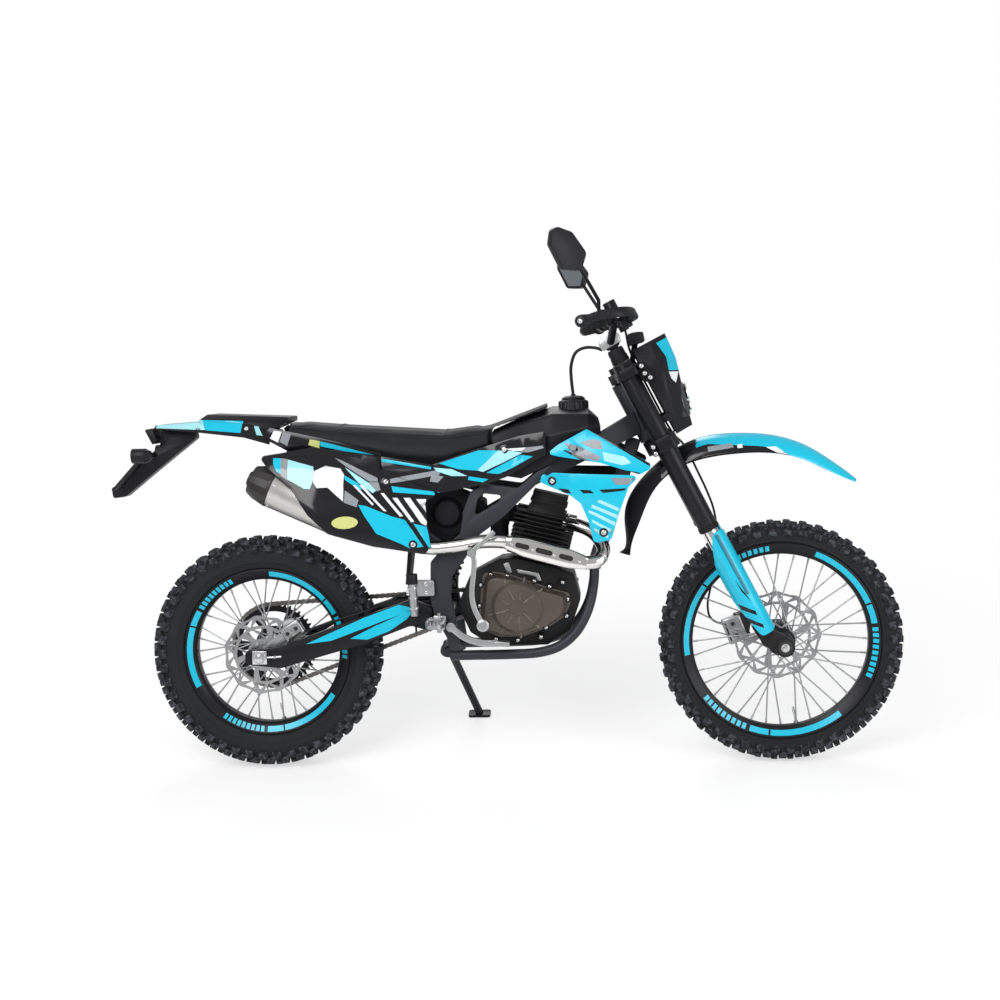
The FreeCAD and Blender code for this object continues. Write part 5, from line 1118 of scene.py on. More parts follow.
def blown_up(piece, held, cap=0.004):
    """Cloth pressure under the cover, its movement capped."""
    rest = [vertex.co.copy() for vertex in piece.data.vertices]
    group = piece.vertex_groups.new(name="held")
    group.add([vertex.index for vertex in piece.data.vertices if held(vertex.co)], 1.0, "REPLACE")
    only(piece)
    cloth = piece.modifiers.new("cover", "CLOTH")
    cloth.settings.vertex_group_mass = "held"
    cloth.settings.use_pressure = True
    cloth.settings.uniform_pressure_force = 4
    cloth.settings.effector_weights.gravity = 0
    cloth.point_cache.frame_end = 20
    for moment in range(1, 21):
        bpy.context.scene.frame_set(moment)
    bpy.ops.object.modifier_apply(modifier=cloth.name)
    bpy.context.scene.frame_set(1)
    for vertex, start in zip(piece.data.vertices, rest):
        step = vertex.co - start
        if step.length > cap:
            vertex.co = start + step * (cap / step.length)
    return piece


def build_seat():
    """Padded seat with its blown-up cover, seams and stitches."""
    pad = bare_copy("seat")
    add_modifier(pad, "REMESH", mode="VOXEL", voxel_size=0.006)
    add_modifier(pad, "DISPLACE", strength=-0.0015, mid_level=0.0)
    blown_up(pad, lambda place: place.z < 0.93 + 0.1 * (place.x < 0.12) + 0.11 * (place.x > 0.66))
    add_modifier(pad, "SMOOTH", factor=0.4, iterations=2)
    rounded(pad, 1)
    run = [mm(x, -400, z) for x, z in ((112, 990), (180, 982), (260, 972), (340, 963), (420, 956),
                                       (500, 950), (560, 948), (620, 955), (665, 962))]
    line, thread = seam_along(spots_on(pad, run, LEFT))
    lines, threads = [line, mirrored(line)], [thread, mirrored(thread)]
    for x in (248, 548):
        run = [mm(x, y, 1200) for y in (-82, -60, -40, -20, 0, 20, 40, 60, 82)]
        line, thread = seam_along(spots_on(pad, run, Vector((0, 0, -1))))
        lines.append(line)
        threads.append(thread)
    finish_piece(joined(lines), "seat_seams", "chassis", "seat cover", (), 60)
    finish_piece(joined(threads), "seat_stitches", "chassis", "seam thread", (), 60)
    cushion = finish_piece(pad, "seat_cushion", "chassis", "seat cover", ["seat"], 70)


# Front end

def two_tone(piece, finish, chosen):
    """Paint the faces that a test picks with one more finish."""
    upright = BIKE.inverted()
    turn = TURN.to_3x3().inverted()
    index = len(piece.data.materials)
    piece.data.materials.append(bpy.data.materials[finish])
    for face in piece.data.polygons:
        if chosen(upright @ face.center, turn @ face.normal):
            face.material_index = index
    return piece


def hexagon_nut(centre, way, radius, height):
    """Hexagon nut on its washer."""
    washer = rod(centre, centre + way * 0.0018, radius * 1.35, 32)
    nut = rod(centre + way * 0.0018, centre + way * (0.0018 + height), radius, 6)
    return joined([eased(washer, 0.4, 1), eased(nut, 0.8, 2)])


BAR_BENDS = {side: fork(64, side * 155, 1022) for side in SIDES}
BAR_TIPS = {side: fork(-12, side * 395, 1048) for side in SIDES}


def bar_axis(side):
    """Direction of the bar's straight end, from its tip inwards."""
    return (BAR_BENDS[side] - BAR_TIPS[side]).normalized()


def on_grip(side, inset):
    """Point on the straight end of the bar at a distance from its tip in millimetres."""
    return BAR_TIPS[side] + bar_axis(side) * inset / 1000


def on_bar(profile, side, steps):
    """Solid of revolution on the bar's end from (distance from the tip, radius) points."""
    axis = bar_axis(side)
    return lathed([(radius, at) for at, radius in profile], BAR_TIPS[side], axis, steps,
                  axis.cross(UP_FORK).normalized())


def ribbed_grip(side):
    """Rubber grip with its ribs, flange and end."""
    profile = [(-6, 11.4), (-6, 14.5), (-4, 16.6), (2, 16.6)]
    for index in range(18):
        at = 5 + 5.6 * index
        profile += [(at, 16.6), (at + 0.9, 15.3), (at + 3.2, 15.3), (at + 4.1, 16.6)]
    profile += [(110, 16.6), (112, 21), (114, 22.4), (117, 22.4), (118, 20), (118, 11.4)]
    return on_bar(profile, side, 40)


def smooth_line(points, steps=8):
    """Points of a curve through the given ones."""
    line = []
    padded = [points[0] * 2 - points[1]] + points + [points[-1] * 2 - points[-2]]
    for a, b, c, d in zip(padded, padded[1:], padded[2:], padded[3:]):
        for index in range(steps):
            t = index / steps
            line.append(0.5 * (2 * b + (c - a) * t + (2 * a - 5 * b + 4 * c - d) * t * t
                               + (3 * b - a - 3 * c + d) * t * t * t))
    return line + [points[-1]]


def blade(points, up, width, height, ends=0.7):
    """Smooth band along a curve, its section a rounded rectangle that narrows to its ends."""
    line = smooth_line(points)
    sections = []
    for index, place in enumerate(line):
        way = (line[min(index + 1, len(line) - 1)] - line[max(index - 1, 0)]).normalized()
        across = up.cross(way).normalized()
        upright = way.cross(across)
        swell = ends + (1 - ends) * math.sin(math.pi * index / (len(line) - 1))
        corners = ((-0.5, -0.36), (-0.3, -0.5), (0.3, -0.5), (0.5, -0.36), (0.5, 0.36), (0.3, 0.5),
                   (-0.3, 0.5), (-0.5, 0.36))
        sections.append([place + across * (i * width / 1000) + upright * (j * height * swell / 1000)
                         for i, j in corners])
    return skin(sections)


def handguard(side):
    """Curved hand guard from the bar's end round the lever, with its end knob."""
    tip = on_grip(side, -22)
    out = LEFT * side / 1000
    route = [tip + out * 6, fork(34, side * 416, 1040), fork(84, side * 398, 1022),
             fork(112, side * 335, 1008), fork(108, side * 265, 1002), fork(88, side * 212, 1002)]
    stay = rod(fork(84, side * 206, 1002), fork(52, side * 194, 1026), 0.0075, 16)
    ends = [rod(fork(85, side * 213, 987), fork(85, side * 213, 1017), 0.0145, 24),
            rod(fork(46, side * 186, 1026), fork(58, side * 200, 1026), 0.017, 24)]
    knob = [(-6.3, 0), (-6.3, 14), (-9, 16.5), (-27, 16.5), (-33, 13), (-35, 6), (-35, 0)]
    end = on_bar(knob, side, 32)
    extras = [eased(piece, 2.0, 2) for piece in [stay] + ends]
    return joined([blade(route, UP_FORK, 9, 26, 0.75), end] + extras)


RISER_Y = 42
LEG_Y = 100
GUARD_BOLTS = ((69, 876), (68, 854), (76, 837), (-6, 664), (-8, 645))


def fork_pair(profile, a, b, c):
    """Two solids of revolution along the fork, one on each side."""
    return joined([lathed(profile, fork(a, side * b, c), UP_FORK, 36, FORWARD_FORK) for side in SIDES])


def build_controls():
    """Grips, hand guards, bar clamps, fork fittings and mirror glass."""
    finish_piece(joined([ribbed_grip(side) for side in SIDES]), "grip_ribs", "front_end", "grip rubber",
                 ["grips"], 40)
    finish_piece(joined([handguard(side) for side in SIDES]), "handguard_blades", "front_end",
                 "black plastic", ["handguards"], 40)
    caps, bolts = [], []
    outline = [(-2, 962), (54, 962), (58, 972), (58, 986), (44, 997), (12, 997), (-4, 988), (-6, 972)]
    for side in SIDES:
        riser = side * RISER_Y
        caps.append(eased(fork_plate(outline, riser - 16, riser + 16), 2.0, 2))
        bolts += [(fork(a, riser + b, 994), UP_FORK) for a in (13, 43) for b in (-9, 9)]
    finish_piece(joined(caps), "bar_clamps", "front_end", "cast alloy")
    bolts += [(fork(a, side * 139, c), LEFT * side) for side in SIDES for a, c in GUARD_BOLTS]
    steel(screws(bolts, 6.5), "clamp_bolts", "front_end")
    lugs = [rod(fork(a, side * LEG_Y, c), fork(a, side * 139, c), 0.0085, 20)
            for side in SIDES for a, c in GUARD_BOLTS]
    lugs += [fork_plate([(40, 888), (78, 886), (86, 832), (66, 826), (40, 864)],
                        side * LEG_Y - 8, side * LEG_Y + 8) for side in SIDES]
    finish_piece(eased(joined(lugs), 1.0, 2), "clamp_lugs", "front_end", "black paint")
    profile = [(0, 0), (26.5, 0), (26.5, 2.5), (24, 4.5), (15, 4.5), (14, 3), (9, 3), (9, 6.5), (7.5, 8),
               (0, 8)]
    finish_piece(fork_pair(profile, 26, LEG_Y, 905), "fork_caps", "front_end", "cap black")
    profile = [(21.6, 0), (27, 1), (29.5, 5), (29.5, 14), (28.6, 16), (21.6, 16)]
    finish_piece(fork_pair(profile, 26, LEG_Y, 384), "fork_seals", "front_end", "grip rubber")
    nuts = [hexagon_nut(fork(58, side * 124, 0), LEFT * side, 0.009, 0.006) for side in SIDES]
    rings = [rod(fork(58, side * 120, 0), fork(58, side * 124.5, 0), 0.0205, 40) for side in SIDES]
    finish_piece(eased(joined(rings), 1.5, 3), "axle_rings", "front_end", "cap black")
    steel(joined(nuts), "front_axle_nuts", "front_end")
    ends = [(on_grip(side, -34), -bar_axis(side)) for side in SIDES]
    ends += [(fork(85, side * 213, 1017), UP_FORK) for side in SIDES]
    ends += [(fork(99.5, side * 215, 1002), FORWARD_FORK) for side in SIDES]
    steel(screws(ends, 7), "guard_bolts", "front_end")
    profile = [(15, 0), (25, 0), (26, 3), (24, 8), (26, 13), (24, 18), (26, 23), (24, 28), (25, 33),
               (23, 38), (23, 52), (21, 60), (15, 60)]
    finish_piece(fork_pair(profile, 28, RISER_Y, 892), "riser_boots", "front_end", "rough plastic")
    glasses = []
    outline = [(-6, -5), (22, -37), (88, -27), (113, 2), (74, 25), (15, 25)]
    for side in SIDES:
        neck = mm(938, side * 372, 1394)
        face = Vector((0.5, side * 0.86, 0)).normalized()
        along = Vector((-0.62 * 0.86, side * 0.5 * 0.62, 0.78)).normalized()
        across = face.cross(along).normalized() * side
        corners = [neck + (along * u + across * v - face * 12.2) / 1000 for u, v in outline]
        glasses.append(eased(plate(corners, face * 0.0018), 0.5, 1, 60))
    finish_piece(joined(glasses), "mirror_glass", "front_end", "mirror glass")


def build_front_panels():
    """Front mudguard, fork guards, mask and lamp with their colours."""
    fender = softened("front_fender", "front_end", BLUE, 0.4)
    two_tone(fender, "rough plastic", lambda place, way: place.x < 1.25 or way.z < -0.12
             or (way.z < 0.25 and place.y * way.y < -0.003))
    node_films("front_fender", "front_end", FENDER_FILMS, 0.05)
    softened("fork_guards", "front_end", BLUE, 1.0)
    node_films("fork_guards", "front_end", GUARD_FILMS, 0.1)
    softened("headlight_mask", "front_end", "black plastic", 1.0)
    node_films("headlight_mask", "front_end", MASK_FILMS, 0.1)
    surface = facing(bare_copy("headlight_mask"), FORWARD_FORK, 0.3)
    outline = ((-66, 912), (66, 912), (74, 850), (30, 806), (-30, 806), (-74, 850))
    brow = film(surface, [fork(160, b, c) for b, c in outline], FORWARD_FORK, 0.6)
    bpy.data.objects.remove(surface)
    finish_piece(brow, "mask_brow", "front_end", BLUE, (), 50)
    softened("headlight", "front_end", "dark screen", 3.0)
    bowls, glasses = [], []
    for c, radius in ((752, 24), (714, 15)):
        foot = fork(134.5 + (c - 690) * 0.23, 0, c)
        way = (FORWARD_FORK - UP_FORK * 0.23).normalized()
        bowl = [(0, -7), (radius * 0.45, -6), (radius * 0.85, -1), (radius, 3.5), (radius + 1.5, 4.5),
                (radius + 3, 2), (radius + 3, 1), (radius, 1), (radius * 0.8, -3), (radius * 0.4, -8),
                (0, -9)]
        bowls.append(lathed(bowl, foot, way, 40))
        dome = [(0, 5), (radius * 0.5, 4.6), (radius * 0.9, 3.6), (radius, 3), (radius, 2),
                (radius * 0.9, 2.6), (radius * 0.5, 3.6), (0, 4)]
        glasses.append(lathed(dome, foot, way, 40))
    finish_piece(joined(bowls), "lamp_bowls", "front_end", "polished steel")
    finish_piece(joined(glasses), "lamp_glasses", "front_end", "clear lens")
    softened("instrument", "front_end", "black plastic", 2.0)
    low, high = fork(84.5, 0, 970.5), fork(114, 0, 960.5)
    along = (high - low).normalized()
    screen = plate([low + along * 0.004 - LEFT * 0.045, high - along * 0.004 - LEFT * 0.045,
                    high - along * 0.004 + LEFT * 0.045, low + along * 0.004 + LEFT * 0.045],
                   LEFT.cross(along).normalized() * -0.0012)
    finish_piece(eased(screen, 0.4, 2), "instrument_screen", "front_end", "dark screen")


# Engine, brakes, levers, exhaust and tail

def build_engine():
    """Screws, bosses and ridges of the covers, clutch arm and oil filler."""
    places = ((665, 559), (711, 554), (787, 538), (830, 521), (867, 533), (880, 485), (876, 437), (817, 405),
              (802, 378), (736, 370), (674, 374), (631, 470), (636, 530))
    heads = [(mm(x, -78, z), -LEFT) for x, z in places]
    bosses = [rod(mm(x, -60, z), mm(x, -78, z), 0.0095, 20, 0.0085) for x, z in places]
    finish_piece(eased(joined(bosses), 0.8, 2), "cover_bosses", "chassis", "engine black")
    heads += [(mm(x, 92, z), LEFT) for x, z in ((672, 384), (672, 490), (742, 540), (842, 528), (886, 478),
                                                 (868, 416), (796, 380))]
    heads += [(mm(x, 62, z), LEFT) for x, z in ((612, 420), (624, 540), (700, 585), (846, 564), (905, 520))]
    steel(screws(heads, 5.5), "engine_screws")
    hub = mm(740, -122, 470)
    ridges = []
    for angle in range(35, 316, 40):
        way = Vector((math.cos(math.radians(angle)), 0, math.sin(math.radians(angle))))
        ridges.append(rod(hub + way * 0.024, hub + way * 0.06, 0.0042, 10, 0.003))
        ridges.append(rod(hub + way * 0.066 + mm(0, 10, 0), hub + way * 0.088 + mm(0, 11, 0),
                          0.0045, 10, 0.003))
    for radius in (62, 18):
        ridges.append(about_axle([(-2.4, radius), (1.6, radius + 3), (1.6, radius - 3)], hub, 64))
    finish_piece(joined(ridges), "cover_ridges", "chassis", "engine bronze")
    arms = [side_plate([(700, 588), (716, 592), (724, 562), (712, 556)], -66, -62),
            side_plate([(738, 572), (800, 560), (808, 538), (796, 536), (790, 550), (742, 560)], -72, -66)]
    finish_piece(eased(joined(arms), 1.5, 2), "clutch_arm", "chassis", "cast alloy")
    cap = [(-62, 0), (-62, 17), (-88, 17), (-90, 15), (-90, 9), (-92, 8), (-92, 0)]
    finish_piece(about_axle(cap, mm(664, 0, 536), 24), "oil_filler", "chassis", "engine black")


def caliper(centre, turn, side, length, height):
    """Two-piston caliper half: body with its pistons, pin, bleed screw and bolts."""
    y = side * 14
    silver = [block(mm(0, side * 15, 0), mm(length, 24, height))]
    eased(silver[0], 6, 3)
    dark = []
    ring = [(27, 0), (27, 12.5), (28.6, 13.5), (30.4, 12), (30.4, 9), (28.8, 8), (28.8, 0)]
    head = [(28, 0), (28, 6.5), (30.2, 6.5), (30.2, 0)]
    for x in (-0.23 * length, 0.23 * length):
        for group, profile, steps in ((silver, ring, 28), (dark, head, 6)):
            group.append(about_axle([(side * at, r) for at, r in profile], mm(x, 0, 0), steps))
    reach = length / 2 + 4
    dark.append(rod(mm(-reach, y, height * 0.27), mm(reach, y, height * 0.27), 0.0034, 14))
    dark.append(block(mm(0, y, -height * 0.36), mm(length * 0.7, 27, 5)))
    dark.append(rod(mm(24, y, height * 0.48), mm(28, y, height * 0.48 + 10), 0.0036, 6, 0.0024))
    pair = [joined(silver), joined(dark)]
    for piece in pair:
        piece.data.transform(Matrix.Translation(centre) @ Matrix.Rotation(turn, 4, LEFT))
    return pair


def build_brakes():
    """Calipers of both wheels and the rear master cylinder over their packed forms."""
    for name, node, body, centre, turn, side, length, height in (
            ("front", "front_caliper", "front_end", FRONT_AXLE + mm(-122, 75, 22), 1.2, -1, 78, 58),
            ("rear", "rear_brake", "chassis", REAR_AXLE + mm(92, -71, 72), -0.55, -1, 62, 46)):
        finish = "cap black" if name == "front" else "cast alloy"
        piece = softened(node, body, finish, 1.0)
        silver, dark = caliper(centre, turn, side, length, height)
        finish_piece(silver, name + "_caliper_body", body, "cast alloy")
        finish_piece(dark, name + "_caliper_pins", body, "cap black")
    two_tone(piece, "black plastic", lambda place, way: place.z > 0.545 and place.x > 0.4)
    y = -129
    low, high = mm(452, y, 452), mm(447, y, 546)
    axis = (high - low).normalized()
    boot = [(12, 2), (13.5, 0), (11, -4), (12.5, -8), (9, -12), (10.5, -16), (6, -20), (3, -20), (3, -44),
            (0, -44), (0, 2)]
    finish_piece(lathed(boot, low, axis, 28), "master_boot", "chassis", "grip rubber")
    rings = [(12, 20), (14.5, 21), (14.5, 27), (12, 28), (12, 50), (13.6, 51), (13.6, 55), (12, 56),
             (12, 78), (15, 79), (15, 84), (12, 85)]
    heads = [hexagon_nut(mm(x, at, z), -LEFT, 0.006, 0.005) for x, at, z in
             ((486, -121, 518), (486, -121, 542), (436, y, 519))]
    steel(joined([lathed(rings, low, axis, 32)] + heads), "master_fittings")


def build_levers():
    """Kick starter, footpegs and the smooth lower frame tubes."""
    arm = smooth_line([mm(646, -166, 430), mm(624, -166, 478), mm(618, -166, 520), mm(624, -166, 575),
                       mm(627, -166, 610), mm(622, -166, 640)], 6)
    hub = about_axle([(-112.3, 0), (-112.3, 12), (-150, 12), (-156, 17), (-174, 17), (-176, 14), (-176, 6),
                      (-173, 6), (-173, 0)], mm(646, 0, 430), 36)
    pedal = blade([mm(616, -166, 632), mm(640, -168, 652), mm(664, -170, 673), mm(686, -172, 692)],
                  LEFT, 13, 15, 0.8)
    knee = about_axle([(-157, 0), (-157, 11), (-159, 12.5), (-175, 12.5), (-177, 11), (-177, 0)],
                      mm(621, 0, 634), 32)
    finish_piece(joined([hub, blade(arm, LEFT, 14, 11, 0.85), eased(pedal, 1.0, 2), knee]), "kick_lever",
                 "chassis", "cast alloy", ["kick_starter"], 35)
    pegs = []
    for side in SIDES:
        bracket = side_plate([(503, 412), (535, 410), (540, 452), (503, 454)], side * 106.3, side * 132)
        pegs.append(eased(bracket, 4, 2))
        pegs.append(rod(mm(519, side * 126, 404), mm(519, side * 126, 460), 0.006, 20))
        outer, inner = [], []
        for index in range(40):
            angle = math.tau * index / 40
            along = 47.5 * math.copysign(abs(math.cos(angle)) ** 0.6, math.cos(angle))
            across = 26 * math.copysign(abs(math.sin(angle)) ** 0.7, math.sin(angle))
            outer.append(mm(515 + across, side * (174 + along), 430))
            inner.append(mm(515 + across * 0.72, side * (174 + along * 0.84), 420))
        ring = plate(outer, mm(0, 0, 12))
        carved(ring, plate(inner, mm(0, 0, 30)))
        pegs.append(eased(ring, 0.8, 1))
        pegs += [block(mm(515, side * y, 436), mm(44, 5, 12)) for y in (157, 176, 195)]
        for spot in outer[::2]:
            pegs.append(rod(spot + mm(0, 0, 11) + (mm(515, side * 174, 430) - spot) * 0.1,
                            spot + mm(0, 0, 20) + (mm(515, side * 174, 430) - spot) * 0.1, 0.0042, 4, 0.0014))
    finish_piece(joined(pegs), "toothed_pegs", "chassis", "cast alloy", ["footpegs"], 35)
    parts = [cut_off(bare_copy("engine_cradle"), ((mm(640, 0, 0), Vector((1, 0, 0))),), True)]
    for side in SIDES:
        y = side * 93
        line = smooth_line([mm(958, side * 18, 578), mm(954, side * 42, 520), mm(938, side * 64, 455),
                            mm(905, side * 83, 396), mm(856, side * 91, 355), mm(796, y, 337),
                            mm(720, y, 333), mm(630, y, 332)])
        parts.append(tube(line, 0.014, 3, 8))
    finish_piece(joined(parts), "cradle_tubes", "chassis", "frame grey", ["engine_cradle"], 35)


def build_exhaust():
    """Header, shield and silencer with its dark end cap, bands and rivets."""
    line = smooth_line([mm(876, -30, 695), mm(915, -36, 688), mm(958, -60, 668), mm(984, -96, 632),
                        mm(972, -126, 602), mm(930, -137, 596), mm(880, -137, 610), mm(800, -135, 637),
                        mm(720, -133, 657), mm(650, -131, 660), mm(580, -130, 650), mm(500, -130, 645),
                        mm(420, -132, 662), mm(360, -136, 688), mm(303, -140, 715)])
    header = [tube(line, 0.019, 3, 8)]
    ring = [(18.4, -2.2), (19.8, -1.6), (20.2, 0), (19.8, 1.6), (18.4, 2.2)]
    for at in (30, 62, 84):
        header.append(lathed(ring, line[at], (line[at + 1] - line[at - 1]).normalized(), 40))
    flange = [(18.8, -2), (29, -2), (30, 0), (30, 7), (29, 9), (18.8, 9)]
    header.append(lathed(flange, line[0], (line[1] - line[0]).normalized(), 40))
    finish_piece(joined(header), "header_pipe", "chassis", "polished steel",
                 ["exhaust_header"], 50)
    start, end = mm(938, -137, 596), mm(716, -133, 658)
    run = (end - start).normalized()
    lift = LEFT.cross(run).normalized()
    if lift.z < 0:
        lift.negate()
    sections = []
    profile = ((-27, 12), (-26, 23), (-21, 27), (-8, 28.5), (8, 28.5), (21, 27), (26, 23), (27, 12))
    for index in range(17):
        place = start.lerp(end, index / 16)
        spread = 0.62 + 0.38 * min(1, 4 * min(index / 16, 1 - index / 16) + 0.1)
        row = [place + (lift * v * spread - LEFT * d) / 1000 for v, d in profile]
        row += [place + (lift * v * 0.94 * spread - LEFT * (d - 1.6)) / 1000 for v, d in profile[::-1]]
        sections.append(row)
    shield = skin(sections)
    slots = []
    for middle, length in ((0.26, 40), (0.53, 48), (0.8, 40)):
        outline = []
        for end_side in (1, -1):
            for step in range(7):
                angle = math.radians(-90 + 30 * step)
                outline.append(run * end_side * (length / 2 - 7 + 7 * math.cos(angle)) / 1000
                               + lift * end_side * 7 * math.sin(angle) / 1000)
        spot = start.lerp(end, middle) + lift * 0.003
        slots.append(plate([spot + point - LEFT * 0.02 for point in outline], LEFT * -0.02))
    carved(shield, joined(slots))
    mat = plate([start.lerp(end, at) + lift * up / 1000 - LEFT * 0.0225 for at, up in
                 ((0.1, -15), (0.92, -15), (0.92, 17), (0.1, 17))], LEFT * -0.001)
    finish_piece(mat, "shield_backing", "chassis", "cap black")
    finish_piece(eased(shield, 0.4, 1), "header_shield", "chassis", "polished steel",
                 ["heat_shield"], 40)
    screws_at = [(start.lerp(end, share) - LEFT * 0.0282, -LEFT) for share in (0.09, 0.4, 0.665, 0.93)]
    steel(screws(screws_at, 4), "shield_screws")
    front, back = mm(300, -140, 716), mm(20, -148, 846)
    axis = (back - front).normalized()
    up = axis.cross(LEFT).normalized()
    side = axis.cross(up).normalized()
    silencer = softened("silencer", "chassis", "brushed alloy", 1.0)
    two_tone(silencer, "cap black", lambda place, way: (place - front).dot(axis) > 0.2565)
    cone = [(52.5, 256), (55.6, 257.5), (55.6, 270), (49.5, 300), (40.5, 320), (37.5, 322), (35.5, 318),
            (45.5, 298), (52.5, 258)]
    finish_piece(lathed(cone, front, axis, 16), "silencer_cone", "chassis", "cap black",
                 (), 20)
    rivets = []
    for at in (0.067, 0.248):
        for index in range(10):
            angle = math.tau * index / 10
            way = up * math.cos(angle) + side * math.sin(angle)
            rivets.append((front + axis * at + way * 0.0558, way))
    steel(screws(rivets, 3.2), "silencer_rivets")
    ring = lathed([(33.8, 1), (36.2, 1), (36.2, 17), (33.8, 17)], front, axis, 48)
    finish_piece(eased(ring, 0.5, 2), "silencer_clamp", "chassis", "bright steel")


def build_rear():
    """Swingarm stripes and adjusters, shock spring, tail films and lamps."""
    node_films("swingarm", "chassis", ARM_FILMS)
    fittings = []
    for side in SIDES:
        square = side_plate([(-21, 357), (-21, 319), (21, 319), (21, 357)], side * 116.2, side * 119)
        fittings.append(eased(square, 1.2, 2))
        fittings.append(hexagon_nut(mm(0, side * 119, 338), LEFT * side, 0.013, 0.009))
        fittings.append(rod(mm(22, side * 114, 338), mm(62, side * 114, 340), 0.0032, 12))
        fittings.append(rod(mm(40, side * 114, 339), mm(47, side * 114, 339.4), 0.006, 6))
    steel(joined(fittings), "chain_adjusters")
    top, low = mm(604, 0, 735), mm(468, 0, 400)
    axis = (low - top).normalized()
    out = axis.cross(LEFT).normalized()
    coil = []
    for index in range(8 * 12 + 1):
        angle = math.tau * index / 12
        reach = 0.0335 if 3 < index < 93 else 0.031
        coil.append(top + axis * (0.096 + 0.142 * index / 96)
                    + (out * math.cos(angle) + LEFT * math.sin(angle)) * reach)
    finish_piece(tube(coil, 0.0048, 3, 3), "shock_spring", "chassis", "frame grey", (), 60)
    node_films("rear_fender", "chassis", TAIL_FILMS, 0.1)
    steel(screws(flank_spots("rear_fender", ((-17, 990),), 0.5), 7), "tail_screws")
    lights = softened("rear_lights", "chassis", "black plastic", 1.5)
    two_tone(lights, "smoked red", lambda place, way: abs(place.y) < 0.06 and way.x < -0.7)
    two_tone(lights, "amber lens", lambda place, way: abs(place.y) > 0.08 and way.x < -0.7)


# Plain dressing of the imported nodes

DRESSED = {
    "chassis": [
        ("frame_head", "frame grey", "black_steel", 1.5), ("frame_spars", "frame grey", "frame_grey", 5.0),
        ("rear_subframe", "frame grey", "black_steel", 0.5),
        ("swingarm", "black paint", "swingarm_black", 3.0),
        ("rear_axle", "bright steel", "black_steel", 0.8), ("rear_shock", "black paint", "shock_steel", 0.8),
        ("crankcase", "engine black", "engine_black", 3.0),
        ("clutch_cover", "engine bronze", "engine_bronze", 3.0),
        ("generator_cover", "engine bronze", "engine_black", 3.0),
        ("cylinder", "engine black", "engine_black", 0.7),
        ("cylinder_head", "engine black", "engine_black", 0.7),
        ("intake", "rough plastic", "black_plastic", 2.0), ("foot_levers", "cast alloy", "black_steel", 2.0),
        ("rear_brake_hose", "black hose", "hose_rubber", 0.2),
        ("rear_fender", "black plastic", "black_plastic", 2.0),
        ("plate_holder", "black plastic", "black_plastic", 1.0),
    ],
    "front_end": [
        ("fork_outer_legs", "black paint", "fork_black", 1.0),
        ("fork_sliders", "polished steel", "slider_chrome", 0.5),
        ("fork_lugs", "black wrinkle", "fork_black", 3.0), ("front_axle", "bright steel", "black_steel", 0.8),
        ("triple_clamps", "black paint", "fork_black", 3.0), ("handlebar", "black paint", "black_steel", 1.0),
        ("hand_levers", "black paint", "alloy", 2.0), ("mirrors", "black plastic", "black_plastic", 5.0),
        ("front_brake_hose", "black hose", "hose_rubber", 0.2),
    ],
    "side_stand": [("side_stand", "black paint", "black_steel", 1.5)],
}


def dress_nodes(done):
    """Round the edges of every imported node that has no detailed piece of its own."""
    for body, rows in DRESSED.items():
        for node, finish, slot, width in rows:
            if node not in done:
                softened(node, body, finish, width)


# Operators

class MOTORCYCLE_OT_finishes(bpy.types.Operator):
    """Make the finishes"""
    bl_idname = "motorcycle.finishes"
    bl_label = "Finishes"

    def execute(self, context):
        build_groups()
        build_finishes(context.scene.motorcycle_finish)
        return {"FINISHED"}


class MOTORCYCLE_OT_stage(bpy.types.Operator):
    """Set the floor, lamps and camera"""
    bl_idname = "motorcycle.stage"
    bl_label = "Stage"

    def execute(self, context):
        build_stage(context.scene.motorcycle_stage)
        return {"FINISHED"}


class MOTORCYCLE_OT_front_wheel(bpy.types.Operator):
    """Tyre, rim, spokes and disc of the front wheel"""
    bl_idname = "motorcycle.front_wheel"
    bl_label = "Front wheel"

    def execute(self, context):
        build_wheel("front", FRONT_AXLE, context.scene.motorcycle_wheel)
        make_disc(FRONT_AXLE, 72, 128, 40, "front_wheel", "front_disc", 12)
        return {"FINISHED"}


class MOTORCYCLE_OT_rear_wheel(bpy.types.Operator):
    """Tyre, rim, spokes and disc of the rear wheel"""
    bl_idname = "motorcycle.rear_wheel"
    bl_label = "Rear wheel"

    def execute(self, context):
        build_wheel("rear", REAR_AXLE, context.scene.motorcycle_wheel)
        make_disc(REAR_AXLE, -72, 115, 40, "rear_wheel", "rear_disc", 11)
        return {"FINISHED"}


class MOTORCYCLE_OT_drive(bpy.types.Operator):
    """Chain and rear chain wheel"""
    bl_idname = "motorcycle.drive"
    bl_label = "Drive"

    def execute(self, context):
        build_drive()
        return {"FINISHED"}


class MOTORCYCLE_OT_bodywork(bpy.types.Operator):
    """Side panels and shrouds with their films and screws"""
    bl_idname = "motorcycle.bodywork"
    bl_label = "Bodywork"

    def execute(self, context):
        build_bodywork()
        return {"FINISHED"}


class MOTORCYCLE_OT_seat(bpy.types.Operator):
    """Padded seat with its cover"""
    bl_idname = "motorcycle.seat"
    bl_label = "Seat"

    def execute(self, context):
        build_seat()
        return {"FINISHED"}


class MOTORCYCLE_OT_front_end(bpy.types.Operator):
    """Controls, mudguard, fork guards, mask and lamp"""
    bl_idname = "motorcycle.front_end"
    bl_label = "Front end"

    def execute(self, context):
        build_controls()
        build_front_panels()
        return {"FINISHED"}


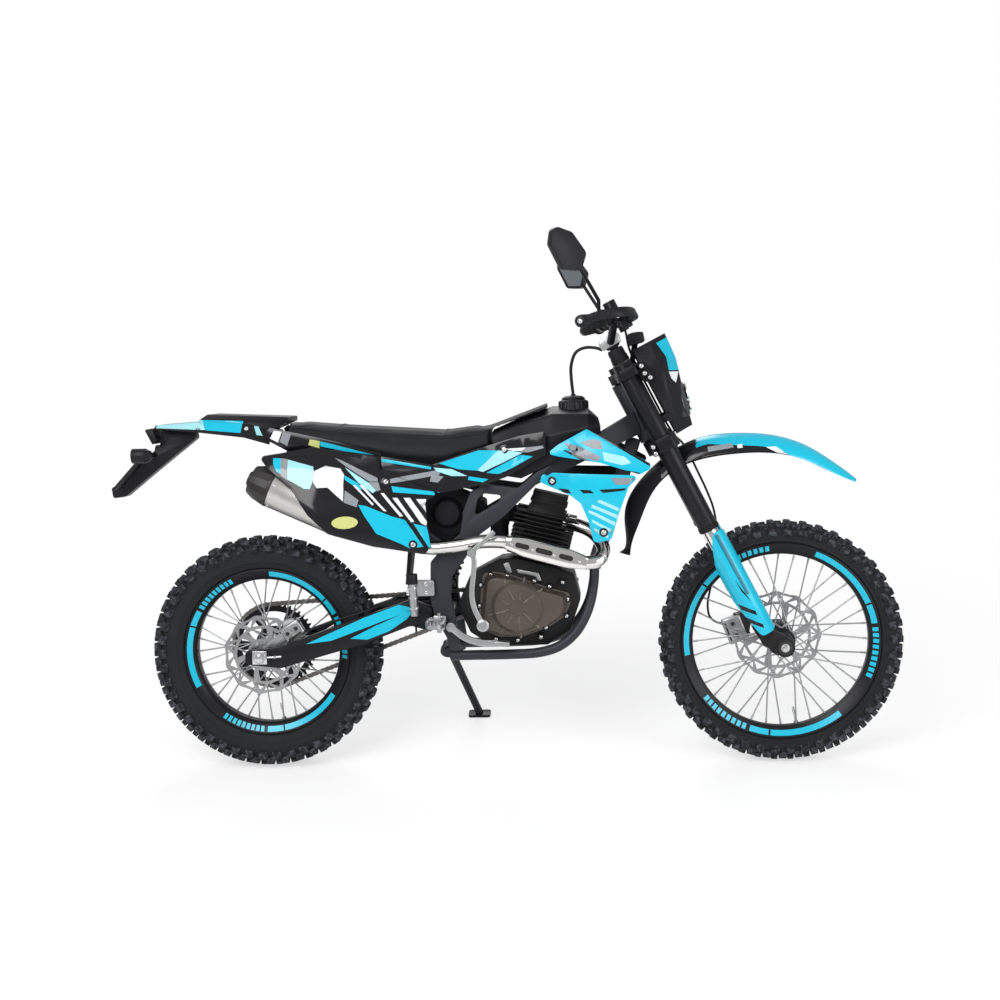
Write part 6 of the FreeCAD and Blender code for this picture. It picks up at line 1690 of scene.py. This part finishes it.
class MOTORCYCLE_OT_running_gear(bpy.types.Operator):
    """Engine, exhaust, swingarm, shock and tail"""
    bl_idname = "motorcycle.running_gear"
    bl_label = "Running gear"

    def execute(self, context):
        build_engine()
        build_exhaust()
        build_brakes()
        build_levers()
        build_rear()
        return {"FINISHED"}


class MOTORCYCLE_OT_dressing(bpy.types.Operator):
    """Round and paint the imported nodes"""
    bl_idname = "motorcycle.dressing"
    bl_label = "Packed nodes"

    def execute(self, context):
        replaced = set()
        for piece in bpy.data.objects:
            replaced.update(piece.get("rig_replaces", []))
        dress_nodes(replaced)
        return {"FINISHED"}


class MOTORCYCLE_PT_panel(bpy.types.Panel):
    """The motorcycle's pieces and settings"""
    bl_idname = "MOTORCYCLE_PT_panel"
    bl_label = "Motorcycle"
    bl_space_type = "VIEW_3D"
    bl_region_type = "UI"
    bl_category = "Motorcycle"

    def draw(self, context):
        for name in SETTINGS:
            group = getattr(context.scene, name)
            for key in group.__annotations__:
                self.layout.prop(group, key)
        for operator in OPERATORS:
            self.layout.operator(operator.bl_idname)


OPERATORS = (MOTORCYCLE_OT_finishes, MOTORCYCLE_OT_stage, MOTORCYCLE_OT_front_wheel, MOTORCYCLE_OT_rear_wheel,
             MOTORCYCLE_OT_drive, MOTORCYCLE_OT_bodywork, MOTORCYCLE_OT_seat, MOTORCYCLE_OT_front_end,
             MOTORCYCLE_OT_running_gear, MOTORCYCLE_OT_dressing)
SETTINGS = {"motorcycle_finish": FinishSettings, "motorcycle_stage": StageSettings,
            "motorcycle_wheel": WheelSettings}


def register():
    for group in SETTINGS.values():
        bpy.utils.register_class(group)
    for operator in OPERATORS:
        bpy.utils.register_class(operator)
    bpy.utils.register_class(MOTORCYCLE_PT_panel)
    for name, group in SETTINGS.items():
        setattr(bpy.types.Scene, name, PointerProperty(type=group))


def unregister():
    for name in SETTINGS:
        delattr(bpy.types.Scene, name)
    bpy.utils.unregister_class(MOTORCYCLE_PT_panel)
    for operator in reversed(OPERATORS):
        bpy.utils.unregister_class(operator)
    for group in SETTINGS.values():
        bpy.utils.unregister_class(group)


def main():
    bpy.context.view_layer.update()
    register()
    for operator in OPERATORS:
        group, name = operator.bl_idname.split(".")
        getattr(getattr(bpy.ops, group), name)()


if __name__ == "__main__":
    main()
